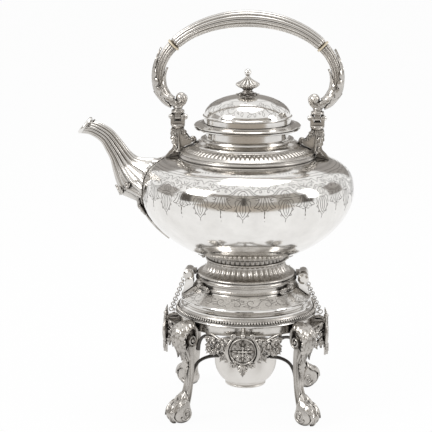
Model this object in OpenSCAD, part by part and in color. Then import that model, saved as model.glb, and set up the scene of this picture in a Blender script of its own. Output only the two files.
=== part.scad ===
// Spirit kettle on stand: a swan-necked kettle tips on pins above a four-legged stand with a spirit lamp.
// Millimetres, +Z up, feet on z = 0, spout towards -X, front towards -Y.
// The kettle's axis stands off the middle, so that the origin is under the middle of the whole.

/* [Kettle] */
// largest radius of the kettle's body
body_r = 106.3; // [105.5:0.1:107]
// height of the shoulder above the widest line
body_up = 39.7; // [39.5:0.1:40]
// depth of the bowl below the widest line
body_down = 71; // [70.5:0.1:71.5]
// thickness of the sheet of the body and lid
sheet = 1.6; // [1.4:0.1:1.8]
// outer radius of the straight neck
neck_r = 40.9; // [40.6:0.1:41.2]

/* [Handle] */
// distance of the handle's posts out from the neck's wall
post_out = 28.3; // [28.1:0.1:28.5]
// distance of the arch out from the posts, measured on its middle line where it is widest
arch_out = 18.9; // [18.4:0.1:19.4]
// rise of the arch above its widest points
arch_h = 59.7; // [59.3:0.1:60.2]
// number of reeds round the grip
grip_reeds = 12; // [12:2:16]

/* [Spout] */
// number of reeds round the spout
spout_reeds = 16; // [14:2:16]
// depth of the grooves between the reeds, as a share of the radius
reed_depth = 0.1; // [0.04:0.01:0.12]

/* [Stand] */
// height of the seat that the kettle's foot stands on
seat_z = 138.5; // [138.4:0.1:138.7]
// outer radius of the beaded border
rim_r = 71; // [70.8:0.1:71.2]
// thickness of the legs' shanks
shank_t = 7.4; // [7:0.1:8]
// number of beads in the border
beads = 72; // [60:4:76]

/* [Hinges] */
// distance of the tipping pins from the kettle's axis
pin_x = 57.5; // [57.3:0.1:57.8]
// radius of the tipping pins
pin_r = 1.9; // [1.8:0.05:2]
// running clearance of a pin in its bore
fit = 0.06; // [0.04:0.01:0.08]
// gap left between pieces that are soldered or screwed together
seat = 0.25; // [0.2:0.05:0.3]

/* [Lamp] */
// outer radius of the lamp's bowl
lamp_r = 31.6; // [31.3:0.1:31.8]

/* [Hidden] */
$fn = 64;
axis_x = 31.5;
body_n = 3.31;
body_m = 1.78;
body_c = 83.4;
base_h = 25.4;
knuckle_r = 5.2;
neck_low = 138.6;
neck_h = 11.2;
neck_top = neck_low + neck_h;
collar_r = neck_r + 26.9;
pivot_up = 9;
pivot_h = neck_top + pivot_up;
arch_c = pivot_h + 38.2;
post_x = neck_r + post_out;
arch_w = post_x + arch_out;
ring_at = 33.6;
ear_r = 3.7;
ear_out = 7.15;
eye_r = 2.1;
lid_c = neck_top + 10.2;
dome_r = neck_r + 2.5;
dome_b = 22;
dome_top = lid_c + dome_b;
hinge_y = neck_r + 15.5;
hinge_h = neck_top + 1.6;
eye_x = rim_r + 4.4;
eye_z = 102.1;
silver = [0.80, 0.79, 0.77];
cast = [0.66, 0.64, 0.61];
dark = [0.35, 0.33, 0.31];
ivory = [0.93, 0.87, 0.72];
cotton = [0.95, 0.93, 0.88];

// places a child on the kettle's axis
module on_axis() translate([axis_x, 0, 0]) children();

// places a child on the kettle's axis, heights measured from the kettle's foot
module on_seat() translate([axis_x, 0, seat_z]) children();

// a ring or disc turned from half of its section
module turned(section) rotate_extrude($fn = 128) polygon(section);

// radius and height of the bowl at a running angle, thinned by an inset
function bowl_point(t, inset) = t >= 0
    ? [(body_r - inset) * pow(cos(t), 2 / body_n), body_c + (body_up - inset) * pow(sin(t), 2 / body_n)]
    : [(body_r - inset) * pow(cos(t), 2 / body_m), body_c - (body_down - inset) * pow(-sin(t), 2 / body_m)];

// running angle at which the bowl has a given radius
function bowl_angle(r, inset, power) = acos(pow(r / (body_r - inset), power / 2));

// outer radius of the bowl at a height above the seat
function bowl_radius(h) = h >= body_c
    ? body_r * pow(1 - pow((h - body_c) / body_up, body_n), 1 / body_n)
    : body_r * pow(1 - pow((body_c - h) / body_down, body_m), 1 / body_m);

// height of the shoulder above the seat at a radius
function shoulder_height(r) = body_c + body_up * pow(1 - pow(r / body_r, body_n), 1 / body_n);

// height of the lid's dome at a radius
function dome_height(r) = lid_c + dome_b * sqrt(1 - pow(r / dome_r, 2));

// a point on a smooth curve through p1 and p2, at t from 0 to 1
function curve_point(p0, p1, p2, p3, t) = 0.5 * (2 * p1 + (p2 - p0) * t + (2 * p0 - 5 * p1 + 4 * p2 - p3) * t * t
    + (3 * p1 - p0 - 3 * p2 + p3) * t * t * t);

// a smooth curve through a list of points, with steps to each span
function smooth(p, steps) = [for (i = [0 : len(p) - 2]) for (s = [0 : steps - 1])
        curve_point(p[max(i - 1, 0)], p[i], p[i + 1], p[min(i + 2, len(p) - 1)], s / steps),
    p[len(p) - 1]];

// the radius factor of a reeded bar at an angle: round reeds with sharp grooves between them
function reed(a, reeds, depth) = 1 - depth * (1 - abs(sin(a * reeds / 2)));

// a closed ring of points round a centre, spanned by two vectors
function ring_points(c, u, v, n, reeds, depth) = [for (k = [0 : n - 1]) let (a = 360 * k / n, f = reed(a, reeds, depth)) c + u * f * cos(a) + v * f * sin(a)];

// triangles between two neighbouring rings of n points
function band_faces(a, b, n) = [for (k = [0 : n - 1]) each [[a + k, b + k, b + (k + 1) % n], [a + k, b + (k + 1) % n, a + (k + 1) % n]]];

// a solid bar through a list of rings, closed by a point in the middle of each end
module bar(rings) {
    n = len(rings[0]);
    m = len(rings);
    ends = [middle(rings[0]), middle(rings[m - 1])];
    points = concat([for (r = rings) each r], ends);
    sides = [for (i = [0 : m - 2]) each band_faces(i * n, (i + 1) * n, n)];
    first = [for (k = [0 : n - 1]) [m * n, k, (k + 1) % n]];
    last = [for (k = [0 : n - 1]) [m * n + 1, (m - 1) * n + (k + 1) % n, (m - 1) * n + k]];
    polyhedron(points, concat(sides, first, last));
}

// the middle of a ring of points
function middle(r) = [for (i = [0 : 2]) [for (p = r) p[i]] * [for (p = r) 1] / len(r)];

// a tube between two lists of rings
module tube(outer, inner) {
    n = len(outer[0]);
    m = len(outer);
    points = concat([for (r = outer) each r], [for (r = inner) each r]);
    out_faces = [for (i = [0 : m - 2]) each band_faces(i * n, (i + 1) * n, n)];
    in_faces = [for (i = [0 : m - 2]) each band_faces((m + i + 1) * n, (m + i) * n, n)];
    ends = concat(band_faces(m * n, 0, n), band_faces((m - 1) * n, (2 * m - 1) * n, n));
    polyhedron(points, concat(out_faces, in_faces, ends));
}

// the bore through the sheet behind the spout
module spout_bore() translate([-body_r - 5, 0, 94]) rotate([0, 90, 0]) cylinder(r = 12.5, h = 30);

// kettle body: the raised and engraved upper half, with a round opening for the neck
module kettle_body() color(silver) on_seat() difference() {
    turned(concat([[body_r, body_c + seat]], [for (t = [4 : 4 : 64]) bowl_point(t, 0)],
        [for (r = [68, 60, 50, neck_r - sheet]) [r, shoulder_height(r)]],
        [for (r = [neck_r - sheet, 50, 60, 68]) [r, shoulder_height(r) - sheet]],
        [for (t = [64 : -4 : 4]) bowl_point(t, sheet)], [[body_r - sheet, body_c + seat]]));
    spout_bore();
}

// kettle bowl: the raised plain lower half, soldered to the upper one along the widest line
module kettle_bowl() color(silver) on_seat() difference() {
    turned(concat([[0, base_h], [54, base_h]], [for (t = [-56 : 4 : 0]) bowl_point(t, 0)],
        [for (t = [0 : -4 : -56]) bowl_point(t, sheet)], [[53, base_h + sheet], [0, base_h + sheet]]));
    spout_bore();
}

// neck collar: the plain stepped ring and the sloping band of eggs above it
module neck_collar() color(cast) on_seat() difference() {
    turned(concat([[collar_r, shoulder_height(collar_r) + seat], [collar_r, 122.4], [collar_r - 1.2, 122.9], [collar_r - 1.2, 124.2],
        [collar_r - 2.4, 125.6], [collar_r - 7.3, 129.6], [collar_r - 13.2, 131.6], [collar_r - 16.3, 131.6]],
        [for (r = [16.3, 10.8, 5.8]) [collar_r - r, shoulder_height(collar_r - r) + seat]]));
    for (k = [0 : 39]) rotate([0, 0, 9 * k]) translate([collar_r + 1.2, 0, 125.4]) rotate([0, -62, 0]) translate([0, 0, -3]) cylinder(r = 1.1, h = 16, $fn = 16);
}

// neck skirt: the flared cast ring between the band of eggs and the neck
module neck_skirt() color(silver) on_seat() turned(concat(
    [for (p = [[12.5, 131.9], [11.7, 133.2], [8.7, 134.6], [5.9, 136.8], [5.3, 138.2], [1.7, 138.4]]) [neck_r + p[0], p[1]]],
    [for (r = [1.7, 5.1, 10.3]) [neck_r + r, shoulder_height(neck_r + r) + seat]], [[neck_r + 10.3, 131.9]]));

// neck tube: the straight polished neck with the flange that the lid shuts on
module neck_tube() color(silver) on_seat() turned(concat(
    [[neck_r - sheet, shoulder_height(neck_r - 0.9) + seat], [neck_r + 1.4, shoulder_height(neck_r + 1.4) + seat], [neck_r + 1.4, neck_low], [neck_r, neck_low + 0.8]],
    [for (p = [[0, -3.4], [2, -2], [10.5, -1.8], [11.6, -1.2], [11.6, -0.4], [10.9, 0], [-sheet, 0]]) [neck_r + p[0], neck_top + p[1]]]));

// base plate: the lobed leaf plate under the bowl
module base_plate() color(cast) on_seat() difference() {
    union() {
        translate([0, 0, 22.6]) linear_extrude(base_h - 22.6 - seat) union() {
            circle(r = 42, $fn = 96);
            for (a = [0, 38, 142, 180, 218, 322]) rotate(a) {
                translate([45.3, 0]) circle(r = 7.6, $fn = 32);
                for (s = [-1, 1]) rotate(14 * s) translate([42.5, 0]) circle(r = 5, $fn = 24);
            }
        }
        translate([0, 0, 21.4]) cylinder(r1 = 40.5, r2 = 43, h = 1.4, $fn = 96);
    }
    translate([0, 0, 20]) cylinder(r = 30, h = 3.8, $fn = 64);
    for (a = [0, 38, 142, 180, 218, 322]) rotate(a) translate([46.5, 0, 21]) cylinder(r = 2, h = 2.4, $fn = 16);
}

// foot band: the upright ring of small tongues over the flare
module foot_band() color(cast) on_seat() difference() {
    turned([[38.6, 14.6], [40.2, 14.8], [41, 15.6], [41, 16.4], [40.2, 17.2], [39, 17.4], [38.8, 20.2], [39.7, 21.1], [32, 21.1], [32, 14.6]]);
    for (k = [0 : 47]) rotate([0, 0, 7.5 * k]) translate([39.9, 0, 17.5]) cylinder(r = 0.75, h = 3.4, $fn = 14);
}

// kettle foot: the flared foot with hollow flutes, open underneath
module kettle_foot() color(cast) on_seat() difference() {
    turned(concat([[48.2, 0], [49.9, 0.3], [49.9, 1.6], [49.1, 2.3]],
        [for (a = [10 : 20 : 90]) [39.2 + 9.6 * pow(1 - sin(a), 1), 14.35 - 11.6 * cos(a)]],
        [[39.2, 14.35], [33.4, 14.35], [36.5, 8], [44.6, 0]]));
    for (k = [0 : 39]) rotate([0, 0, 9 * k]) translate([51.6, 0, 4.2]) rotate([0, -50, 0]) cylinder(r = 1.9, h = 15.5, $fn = 16);
}

// the spout's outline as pairs of upper and lower points, and its half width across
spout_up = [[-154.5, 154.1], [-146.2, 151.6], [-134.7, 144.7], [-124.9, 133.6], [-117, 123.5], [-109.1, 117.5], [-100.1, 116.2], [-93, 116.3]];
spout_low = [[-165.8, 140.8], [-157.2, 139.5], [-146.8, 132.6], [-140.9, 122.5], [-137, 114.4], [-134.6, 104.3], [-131.2, 92.1], [-126, 79.5]];
spout_wide = [8.6, 8.2, 8.4, 9.8, 11.2, 14.2, 19, 23.4];

// a ring of the spout, drawn in by a wall
function spout_ring(u, l, w, wall, depth) = let (c = (u + l) / 2, h = (u - l) / 2, s = 1 - wall / norm(h))
    ring_points([c[0], 0, c[1]], [h[0] * s, 0, h[1] * s], [0, w - wall, 0], spout_reeds * 4, spout_reeds, depth);

// the oval on the bowl that the spout is soldered to
function joint_ring(high, wide) = [for (k = [0 : spout_reeds * 4 - 1]) let (a = 360 * k / (spout_reeds * 4), h = 93 + high * cos(a), r = bowl_radius(h) + 0.35, f = wide * sin(a)) [-r * cos(f), r * sin(f), h]];

// spout: a cast swan neck with lengthwise reeds, hollow from the bowl to the mouth
module spout() color(silver) on_seat() {
    up = smooth(spout_up, 3);
    low = smooth(spout_low, 3);
    wide = smooth(spout_wide, 3);
    last = len(up) - 1;
    outer = [for (i = [0 : last]) spout_ring(up[i], low[i], wide[i], 0, reed_depth * (i < 1 ? 0.4 : 1))];
    inner = [for (i = [0 : last]) spout_ring(up[i], low[i], wide[i], 1.9, 0)];
    tube(concat([joint_ring(22.6, 15.2)], [for (i = [last : -1 : 0]) outer[i]]), concat([joint_ring(19.6, 13.4)], [for (i = [last : -1 : 0]) inner[i]]));
}

// spout lip: the thick rolled ring round the oblique mouth
module spout_lip() color(silver) on_seat() translate([-161.8, 0, 148.8]) rotate([0, -49.6, 0]) rotate_extrude($fn = 64) translate([8.3, 0]) circle(r = 1.9, $fn = 32);

// spout leaf: leaf cluster under the spout, with a tail that tapers down the bowl
module spout_leaf() color(cast) on_seat() {
    rows = [for (i = [12 : -1 : 0]) i / 12];
    bar([for (t = rows) let (h = lerp(69.2, 36, t), w = 12.4 * pow(1 - t, 0.8) + 1.2, p = lerp(4.2, 1.2, pow(t, 0.7)))
        [for (k = [0 : 11]) let (a = 30 * k, q = w * cos(a), lift = 0.55 + (sin(a) > 0 ? p * sin(a) : 0), z = h, r = bowl_radius(z) + lift) [-r * cos(q), r * sin(q), z]]]);
    for (s = [-1, 1]) for (e = [[0, 5.4, 66.5], [5.5, 4.3, 63], [9.5, 3.2, 66.2]]) let (r = bowl_radius(e[2]) + 5.5, q = s * e[0])
        translate([-r * cos(q) , r * sin(q), e[2]]) sphere(r = e[1], $fn = 32);
}

// a value part of the way from a to b
function lerp(a, b, t) = a + (b - a) * t;

// spout tip leaf: the small leaf laid over the neck behind the lip
module spout_tip_leaf() color(cast) on_seat() {
    up = smooth([for (p = spout_up) p], 3);
    low = smooth([for (p = spout_low) p], 3);
    bar([for (i = [1 : 8]) let (c = (up[i] + low[i]) / 2, h = (up[i] - low[i]) / 2, d = h / norm(h), r = norm(h) + 0.3, w = [0, 50, 58, 52, 48, 42, 34, 22, 8][i])
        concat([for (k = [-4 : 4]) let (a = w * k / 4) [c[0] + d[0] * r * cos(a), r * sin(a), c[1] + d[1] * r * cos(a)]],
            [for (k = [4 : -1 : -4]) let (a = w * k / 4, q = r + 1.3 + 0.5 * cos(k * 90)) [c[0] + d[0] * q * cos(a), q * sin(a), c[1] + d[1] * q * cos(a)]])]);
}

// lid shell: the raised dome with its upright edge and the short skirt inside the neck
module lid_shell() color(silver) on_seat() turned(concat(
    [for (p = [[-sheet - 1.2, -4.4], [-sheet - 1.2, 0.5], [1.95, 0.5], [1.95, 4.4], [2.3, 4.4], [2.3, 9.6], [3.5, 10.4], [3.5, 11.4], [2.5, 12]]) [neck_r + p[0], neck_top + p[1]]],
    [for (a = [10 : 8 : 82]) [dome_r * cos(a), lid_c + dome_b * sin(a)]], [[0, dome_top], [0, dome_top - sheet]],
    [for (a = [82 : -8 : 2]) [(dome_r - sheet) * cos(a), lid_c + (dome_b - sheet) * sin(a)]], [for (p = [[0.7, 3.2], [-sheet - 2.4, 1.8], [-sheet - 2.4, -4.4]]) [neck_r + p[0], neck_top + p[1]]]));

// lid flange: the rolled ring that rests on the neck's flange
module lid_flange() color(silver) on_seat() turned(
    [for (p = [[2.2, 0.3], [11.1, 0.3], [12.1, 1], [12.1, 1.8], [11.3, 2.5], [7.6, 3], [5.1, 4.1], [2.2, 4.1]]) [neck_r + p[0], neck_top + p[1]]]);

// lid hinge leaf: the lid's half of the hinge at the back
module lid_hinge_leaf() color(cast) on_seat() difference() {
    union() {
        translate([-4.6, hinge_y, hinge_h]) rotate([0, 90, 0]) cylinder(r = 2.5, h = 9.2, $fn = 32);
        translate([-4.6, hinge_y - 9.9, hinge_h + 2]) cube([9.2, 8, 1.6]);
        translate([-4.6, hinge_y - 3, hinge_h + 0.2]) cube([9.2, 2.6, 3.4]);
    }
    translate([-5, hinge_y, hinge_h]) rotate([0, 90, 0]) cylinder(r = 1.2 + fit, h = 10, $fn = 32);
    turned([for (p = [[-neck_r, -9.8], [12.4, -9.8], [12.4, 2.8], [7.7, 3.4], [5.1, 4.4], [-neck_r, 4.4]]) [neck_r + p[0], neck_top + p[1]]]);
}

// lid hinge ears: the kettle's half of the hinge, under the neck's flange
module lid_hinge_ears() color(cast) on_seat() difference() {
    for (s = [-1, 1]) translate([s * 7 - 2, 0, 0]) {
        translate([0, hinge_y, hinge_h]) rotate([0, 90, 0]) cylinder(r = 2.5, h = 4, $fn = 32);
        translate([0, hinge_y - 12.4, hinge_h - 6.8]) cube([4, 12.4, 3]);
        translate([0, hinge_y - 3.5, hinge_h - 6.8]) cube([4, 3.5, 6]);
    }
    translate([-10, hinge_y, hinge_h]) rotate([0, 90, 0]) cylinder(r = 1.2, h = 20, $fn = 32);
    turned([for (p = [[-neck_r, -19.8], [0.3, -19.8], [0.3, -3.5], [2, -2.2], [11.9, -2.1], [11.9, 5.2], [-neck_r, 5.2]]) [neck_r + p[0], neck_top + p[1]]]);
}

// lid hinge pin: held in the ears, the leaf turns on it
module lid_hinge_pin() color(dark) on_seat() translate([-9.4, hinge_y, hinge_h]) rotate([0, 90, 0]) cylinder(r = 1.2, h = 18.8, $fn = 32);

// finial base: a leafy disc and a spool, standing on the dome
module finial_base() color(cast) on_seat() difference() {
    turned(concat([for (p = [[5.9, 1.4], [5.9, 2.6], [4.6, 3.2], [4.6, 4.4], [5.3, 5], [5.3, 5.6], [0, 5.6]]) [p[0], dome_top + p[1]]],
        [for (r = [0, 4, 8, 11]) [r, dome_height(r) + 0.3]], [[11, dome_height(11) + 1.1], [8, dome_top + 0.7]]));
    for (k = [0 : 7]) rotate([0, 0, 22.5 + 45 * k]) translate([11.4, 0, dome_top - 2]) cylinder(r = 1.5, h = 5, $fn = 20);
}

// finial knob: the ribbed knob, like a half-open umbrella
module finial_knob() color(cast) on_seat() translate([0, 0, dome_top]) difference() {
    turned([[0, 5.85], [6.2, 5.85], [9.4, 7.3], [11.8, 9], [12.2, 9.9], [11.4, 11], [7.6, 13.1], [4, 15.3], [2.5, 16.9], [1.9, 18], [0, 18]]);
    for (k = [0 : 11]) rotate([0, 0, 30 * k]) translate([13.3, 0, 9.2]) rotate([0, -62, 0]) translate([0, 0, -2]) cylinder(r = 1.3, h = 12, $fn = 16);
}

// finial ball: the ball nut on top
module finial_ball() color(silver) on_seat() translate([0, 0, dome_top]) union() {
    translate([0, 0, 21.6]) sphere(r = 3.6, $fn = 48);
    translate([0, 0, 18.2]) cylinder(r = 1.6, h = 1.5, $fn = 24);
}

// a point of the handle's arch at an angle
function arch_point(a) = [arch_w * cos(a), 0, arch_c + arch_h * sin(a)];

// a ring of points square to the arch at an angle
function arch_ring(a, r, n, reeds, depth) = let (t = [-arch_w * sin(a), 0, arch_h * cos(a)], q = t / norm(t)) ring_points(arch_point(a), [q[2] * r, 0, -q[0] * r], [0, r, 0], n, reeds, depth);

// handle grip: the reeded arch between the two insulators
module handle_grip() color(silver) on_seat() {
    first = ring_at + 1.2;
    bar([for (i = [0 : 16]) let (a = first + (180 - 2 * first) * i / 16, rise = (sin(a) - sin(first)) / (1 - sin(first)))
        arch_ring(a, 6.4 + 1.95 * rise * rise, grip_reeds * 4, grip_reeds, 0.13)]);
}

// insulators: two thin rings that keep the heat from the grip
module insulators() color(ivory) on_seat() for (s = [0, 1]) mirror([s, 0, 0]) {
    lean = atan2(-arch_w * sin(ring_at), arch_h * cos(ring_at));
    translate(arch_point(ring_at)) rotate([0, lean, 0]) cylinder(r = 6.9, h = 1.7, center = true, $fn = 48);
}

// the lower end of an arm, as middle points and radii
arm_path = smooth(concat([for (a = [ring_at - 1.3, 24, 13, 3]) [arch_w * cos(a), arch_c + arch_h * sin(a)]],
    [for (p = [[17.7, 29.6], [14.3, 22.6], [9.6, 16.9], [3.4, 13.6]]) [post_x + p[0], pivot_h + p[1]]]), 2);
arm_thick = smooth([6.2, 5.8, 5.6, 5.6, 5.5, 5.2, 4.6, 3.9], 2);
arm_last = len(arm_path) - 1;
arm_end = arm_path[arm_last];
arm_way = (arm_end - arm_path[arm_last - 1]) / norm(arm_end - arm_path[arm_last - 1]);

// a round or reeded rod along a path of [x, z] points, with a radius at each
module rod(path, radii, reeds, depth) {
    last = len(path) - 1;
    bar([for (i = [0 : last]) let (t = path[min(i + 1, last)] - path[max(i - 1, 0)], q = t / norm(t), r = radii[i])
        ring_points([path[i][0], 0, path[i][1]], [q[1] * r, 0, -q[0] * r], [0, r, 0], 32, reeds, depth)]);
}

// an arm of the handle: a reeded bar that sweeps down and under, towards its ball
module arm() rod(arm_path, arm_thick, 8, 0.16);

// left arm of the handle
module arm_left() color(cast) on_seat() mirror([1, 0, 0]) arm();

// right arm of the handle
module arm_right() color(cast) on_seat() arm();

// arm scrolls: the round balls that the arms curl up into, each on a short neck and a plate over its pivot
module arm_scrolls() color(cast) on_seat() for (s = [0, 1]) mirror([s, 0, 0]) union() {
    rod([arm_end + arm_way * 0.3, arm_end + arm_way * 3.2, [post_x - 3.2, pivot_h + 13.8], [post_x - 5.2, pivot_h + 16.4]],
        [3.9, 3.8, 3.8, 3.4], 8, 0);
    translate([post_x - 3.3, 0, pivot_h + 18.9]) sphere(r = 5.5, $fn = 48);
    translate([post_x - 3.3, 0, pivot_h + 18.9]) rotate([90, 0, 0]) cylinder(r = 2, h = 11.8, center = true, $fn = 32);
    translate([post_x, 0, pivot_h]) turned([[0, 4.15], [6.1, 4.15], [6.7, 4.7], [6.7, 6.4], [6, 7], [4.6, 7.3], [4.3, 8.2], [4.4, 11.2], [0, 11.2]]);
}

// handle tongues: the handle's halves of the two pivots
module handle_tongues() color(dark) on_seat() for (s = [-1, 1]) difference() {
    union() {
        translate([s * post_x, 0, pivot_h]) rotate([0, 90, 0]) cylinder(r = ear_r - 0.05, h = 6, center = true, $fn = 40);
        translate([s * post_x - 3, -3.2, pivot_h]) cube([6, 6.4, ear_r + 0.2]);
    }
    translate([s * post_x, 0, pivot_h]) rotate([0, 90, 0]) cylinder(r = 1.5 + fit, h = 8, center = true, $fn = 32);
}

// handle pins: two pins with domed heads, held in the posts' forks
module handle_pins() color(silver) on_seat() for (s = [-1, 1]) translate([s * post_x, 0, pivot_h]) {
    rotate([0, 90, 0]) cylinder(r = 1.5, h = 2 * ear_out + 1, center = true, $fn = 32);
    for (d = [-1, 1]) let (r = d * s < 0 ? 2.9 : 2.5) rotate([0, d * 90, 0]) translate([0, 0, ear_out + 0.05])
        turned([[0, 0], [r, 0], [r * 0.94, r * 0.34], [r * 0.77, r * 0.64], [r * 0.5, r * 0.87], [0, r]]);
}

// a post: a cast bracket with toes on the shoulder, a bowl and a fork for the pivot
module post() difference() {
    union() {
        rotate([90, 0, 0]) translate([0, 0, -4.6]) linear_extrude(9.2) union() {
            polygon(concat([for (p = [[-7, -10.9], [7, -10.9], [7.4, -17.5], [6.2, -22], [5.5, -28]]) [post_x + p[0], pivot_h + p[1]]],
                [for (p = [[6.4, 127], [9, 124.6], [12, 123], [13, 119.6]]) [post_x + p[0], p[1]]],
                [for (r = [13, 9.3, 5.8, 2.3, -0.3]) [post_x + r - 0.2, shoulder_height(post_x + r - 0.4) + 0.35]],
                [for (p = [[0.5, 122.9], [-0.5, 124.6], [-1.9, 126.2], [-6.8, 130.3], [-11.3, 131.9], [-15.2, 133.9], [-17.2, 138], [-15.3, 138.5], [-10.8, 136], [-8, 138.4]]) [collar_r + p[0], p[1]]],
                [[post_x - 7.6, pivot_h - 16.8]]));
            translate([collar_r - 14.2, 136.4]) circle(r = 2.9, $fn = 28);
        }
        translate([post_x, 0, pivot_h]) turned([[0, -11.4], [5, -11.4], [6.2, -10.4], [7.2, -9.2], [7.2, -7.7], [6.6, -7.2], [0, -7.2]]);
        for (d = [-1, 1]) translate([post_x + d * (ear_out - 1.9), 0, pivot_h]) {
            rotate([0, 90, 0]) cylinder(r = ear_r, h = 3.8, center = true, $fn = 40);
            translate([-1.9, -3.4, -7.4]) cube([3.8, 6.8, 7.4]);
        }
    }
    translate([post_x, 0, pivot_h]) rotate([0, 90, 0]) cylinder(r = 1.5, h = 20, center = true, $fn = 32);
    for (d = [-1, 1]) translate([post_x + 3.6, d * 4.8, pivot_h - 15]) rotate([90, 0, 0]) cylinder(r = 1.4, h = 2.4, center = true, $fn = 20);
}

// left post
module post_left() color(cast) on_seat() mirror([1, 0, 0]) post();

// right post
module post_right() color(cast) on_seat() post();

// kettle lugs: knuckles on the foot, between the stand's ears
module kettle_lugs() color(cast) on_seat() difference() {
    for (s = [-1, 1]) union() {
        translate([s * pin_x, 0, 0]) rotate([90, 0, 0]) cylinder(r = knuckle_r, h = 8.8, center = true, $fn = 48);
        translate([s * pin_x - (s > 0 ? 9 : 0), -4.4, -1]) cube([9, 8.8, 4.6]);
    }
    for (s = [-1, 1]) translate([s * pin_x, 0, 0]) rotate([90, 0, 0]) cylinder(r = pin_r + fit, h = 20, center = true, $fn = 32);
    translate([0, 0, -8]) cylinder(r = 50.2, h = 20, $fn = 128);
}

// gallery: the upright ring that the kettle's foot stands on
module gallery() color(cast) on_axis() turned([[46, 127.4], [51.6, 127.4], [51.9, 128.2], [50.6, 129.6], [50.2, 130.4], [50.2, 133.4], [50.9, 134.2], [50.9, 135.2], [50, 136],
    [49.6, 136.8], [49.6, 137.8], [49, seat_z - 0.3], [46, seat_z - 0.3]]);

// shoulder: the sloping engraved band
module shoulder() color(silver) on_axis() turned(concat([[52, 127.15], [50, 127.15], [49, 126.2], [lerp(49, rim_r - 8, 0.43), 121.4], [rim_r - 8, 116.4], [rim_r - 5.6, 116.4]],
    [for (t = [1, 0.6, 0.2, 0]) let (r = lerp(52.8, rim_r - 5.6, t)) [r, band_height(r)]]));

// height of the engraved band at a radius
function band_height(r) = let (t = (r - 52.8) / (rim_r - 58.4)) lerp(126.2, 117, t) - 1.2 * t * (1 - t);

// moulding: the polished lip and hollow under the shoulder
module moulding() color(silver) on_axis() turned([for (p = [[8, 116.15], [5.6, 116.15], [5.1, 115.4], [5.5, 114.4], [7.6, 113.8], [8.5, 113], [8.3, 111.6], [6.8, 110.2], [5.2, 109.2],
    [4.4, 108.35], [10, 108.35], [11, 111]]) [rim_r - p[0], p[1]]]);

// bead border: the ring of small beads round the widest part of the stand
module bead_border() color(cast) on_axis() union() {
    turned([for (p = [[9.5, 102], [1, 102], [1.8, 104.6], [4.2, 108.1], [9.5, 108.1]]) [rim_r - p[0], p[1]]]);
    translate([0, 0, 102.4]) linear_extrude(3.4) difference() {
        union() for (k = [0 : beads - 1]) rotate(360 * k / beads) translate([rim_r - 3.2, 0]) circle(r = 2.7, $fn = 16);
        circle(r = rim_r - 5, $fn = 128);
    }
}

// frieze: the rim and the hollow moulding under the beads
module frieze() color(silver) on_axis() turned([for (p = [[9, 101.75], [0, 101.75], [-0.5, 101], [0, 100.2], [1.6, 99.4], [1.8, 96.2], [2.6, 92.6], [2.4, 91.4], [3, 90.6], [9, 90.6]])
    [rim_r - p[0], p[1]]]);

// a leg, drawn from the rim: an S-shaped casting with a volute at the top, a leafed knee, a channelled shank and a scroll foot
module leg(turn) color(cast) on_axis() rotate([0, 0, turn]) translate([rim_r, 0, 0]) rotate([90, 0, 0]) difference() {
    union() {
        translate([0, 0, -shank_t / 2]) linear_extrude(shank_t) polygon(concat(smooth([[1, 99.2], [8, 99.4], [15.5, 97.4], [20, 93], [21, 87], [19, 80], [15, 73], [10.8, 66], [9.2, 57], [9, 47], [9.6, 38], [11.6, 30], [15.4, 22.6], [20.4, 20]], 2),
            smooth([[17, 6], [11, 12], [7.4, 20], [4.8, 29], [3.2, 39], [2, 50], [1.6, 60], [2, 68], [3.4, 74.6], [5.4, 80]], 2), [[-0.8, 84], [-2, 90.3], [-2, 92.6], [-1.2, 96.2], [0.9, 99]]));
        translate([0, 0, -6.8]) linear_extrude(13.6) polygon(smooth([[6.5, 98.6], [14, 96.4], [19, 92], [20, 86.5], [18, 80], [14.4, 73.6], [10.4, 66], [7.6, 68], [8.4, 75], [10.4, 82], [9.6, 88.6], [6, 93], [3, 96.6]], 2));
        translate([4.6, 83, -5.6]) cylinder(r = 7.4, h = 11.2, $fn = 48);
        translate([20.4, 9.8, -6.2]) cylinder(r = 10.3, h = 12.4, $fn = 64);
        translate([13.4, 8.2, -5.2]) cylinder(r = 7.4, h = 10.4, $fn = 48);
        translate([4.6, 83, -6.4]) cylinder(r = 2.6, h = 12.8, $fn = 28);
        translate([13.6, 8.6, -6.6]) cylinder(r = 2.2, h = 13.2, $fn = 28);
    }
    for (s = [-1, 1]) translate([0, 0, s * 5.6 - 0.9]) {
        difference() {
            translate([4.6, 83, 0]) cylinder(r = 5.8, h = 1.8, $fn = 40);
            translate([4.6, 83, -1]) cylinder(r = 4, h = 4, $fn = 32);
        }
    }
    for (s = [-1, 1]) translate([0, 0, s * 5.3 - 1]) difference() {
        translate([13.6, 8.6, 0]) cylinder(r = 5.4, h = 2, $fn = 40);
        translate([13.6, 8.6, -1]) cylinder(r = 3.4, h = 4, $fn = 32);
    }
    for (s = [-1, 1]) translate([0, 0, s * (shank_t / 2 + 0.4) - 1.4]) linear_extrude(2.8)
        polygon(concat(smooth([[9, 61], [7.6, 52], [7.6, 42], [9, 32], [11.6, 25]], 2), smooth([[9.2, 23], [6.4, 31], [4.8, 41], [3.8, 52], [4.6, 62]], 2)));
    translate([-11, -5, -20]) cube([60, 5, 40]);
}

// front left leg
module leg_front_left() leg(225);

// front right leg
module leg_front_right() leg(315);

// back left leg
module leg_back_left() leg(135);

// back right leg
module leg_back_right() leg(45);

// an open scroll, seen flat
module scroll(x, z, r, w, from, sweep) translate([x, z]) difference() {
    circle(r = r, $fn = 36);
    circle(r = r - w, $fn = 32);
    rotate(from) polygon(concat([[0, 0]], [for (i = [0 : 4]) let (a = sweep * i / 4) [2 * r * cos(a), 2 * r * sin(a)]]));
}

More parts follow.
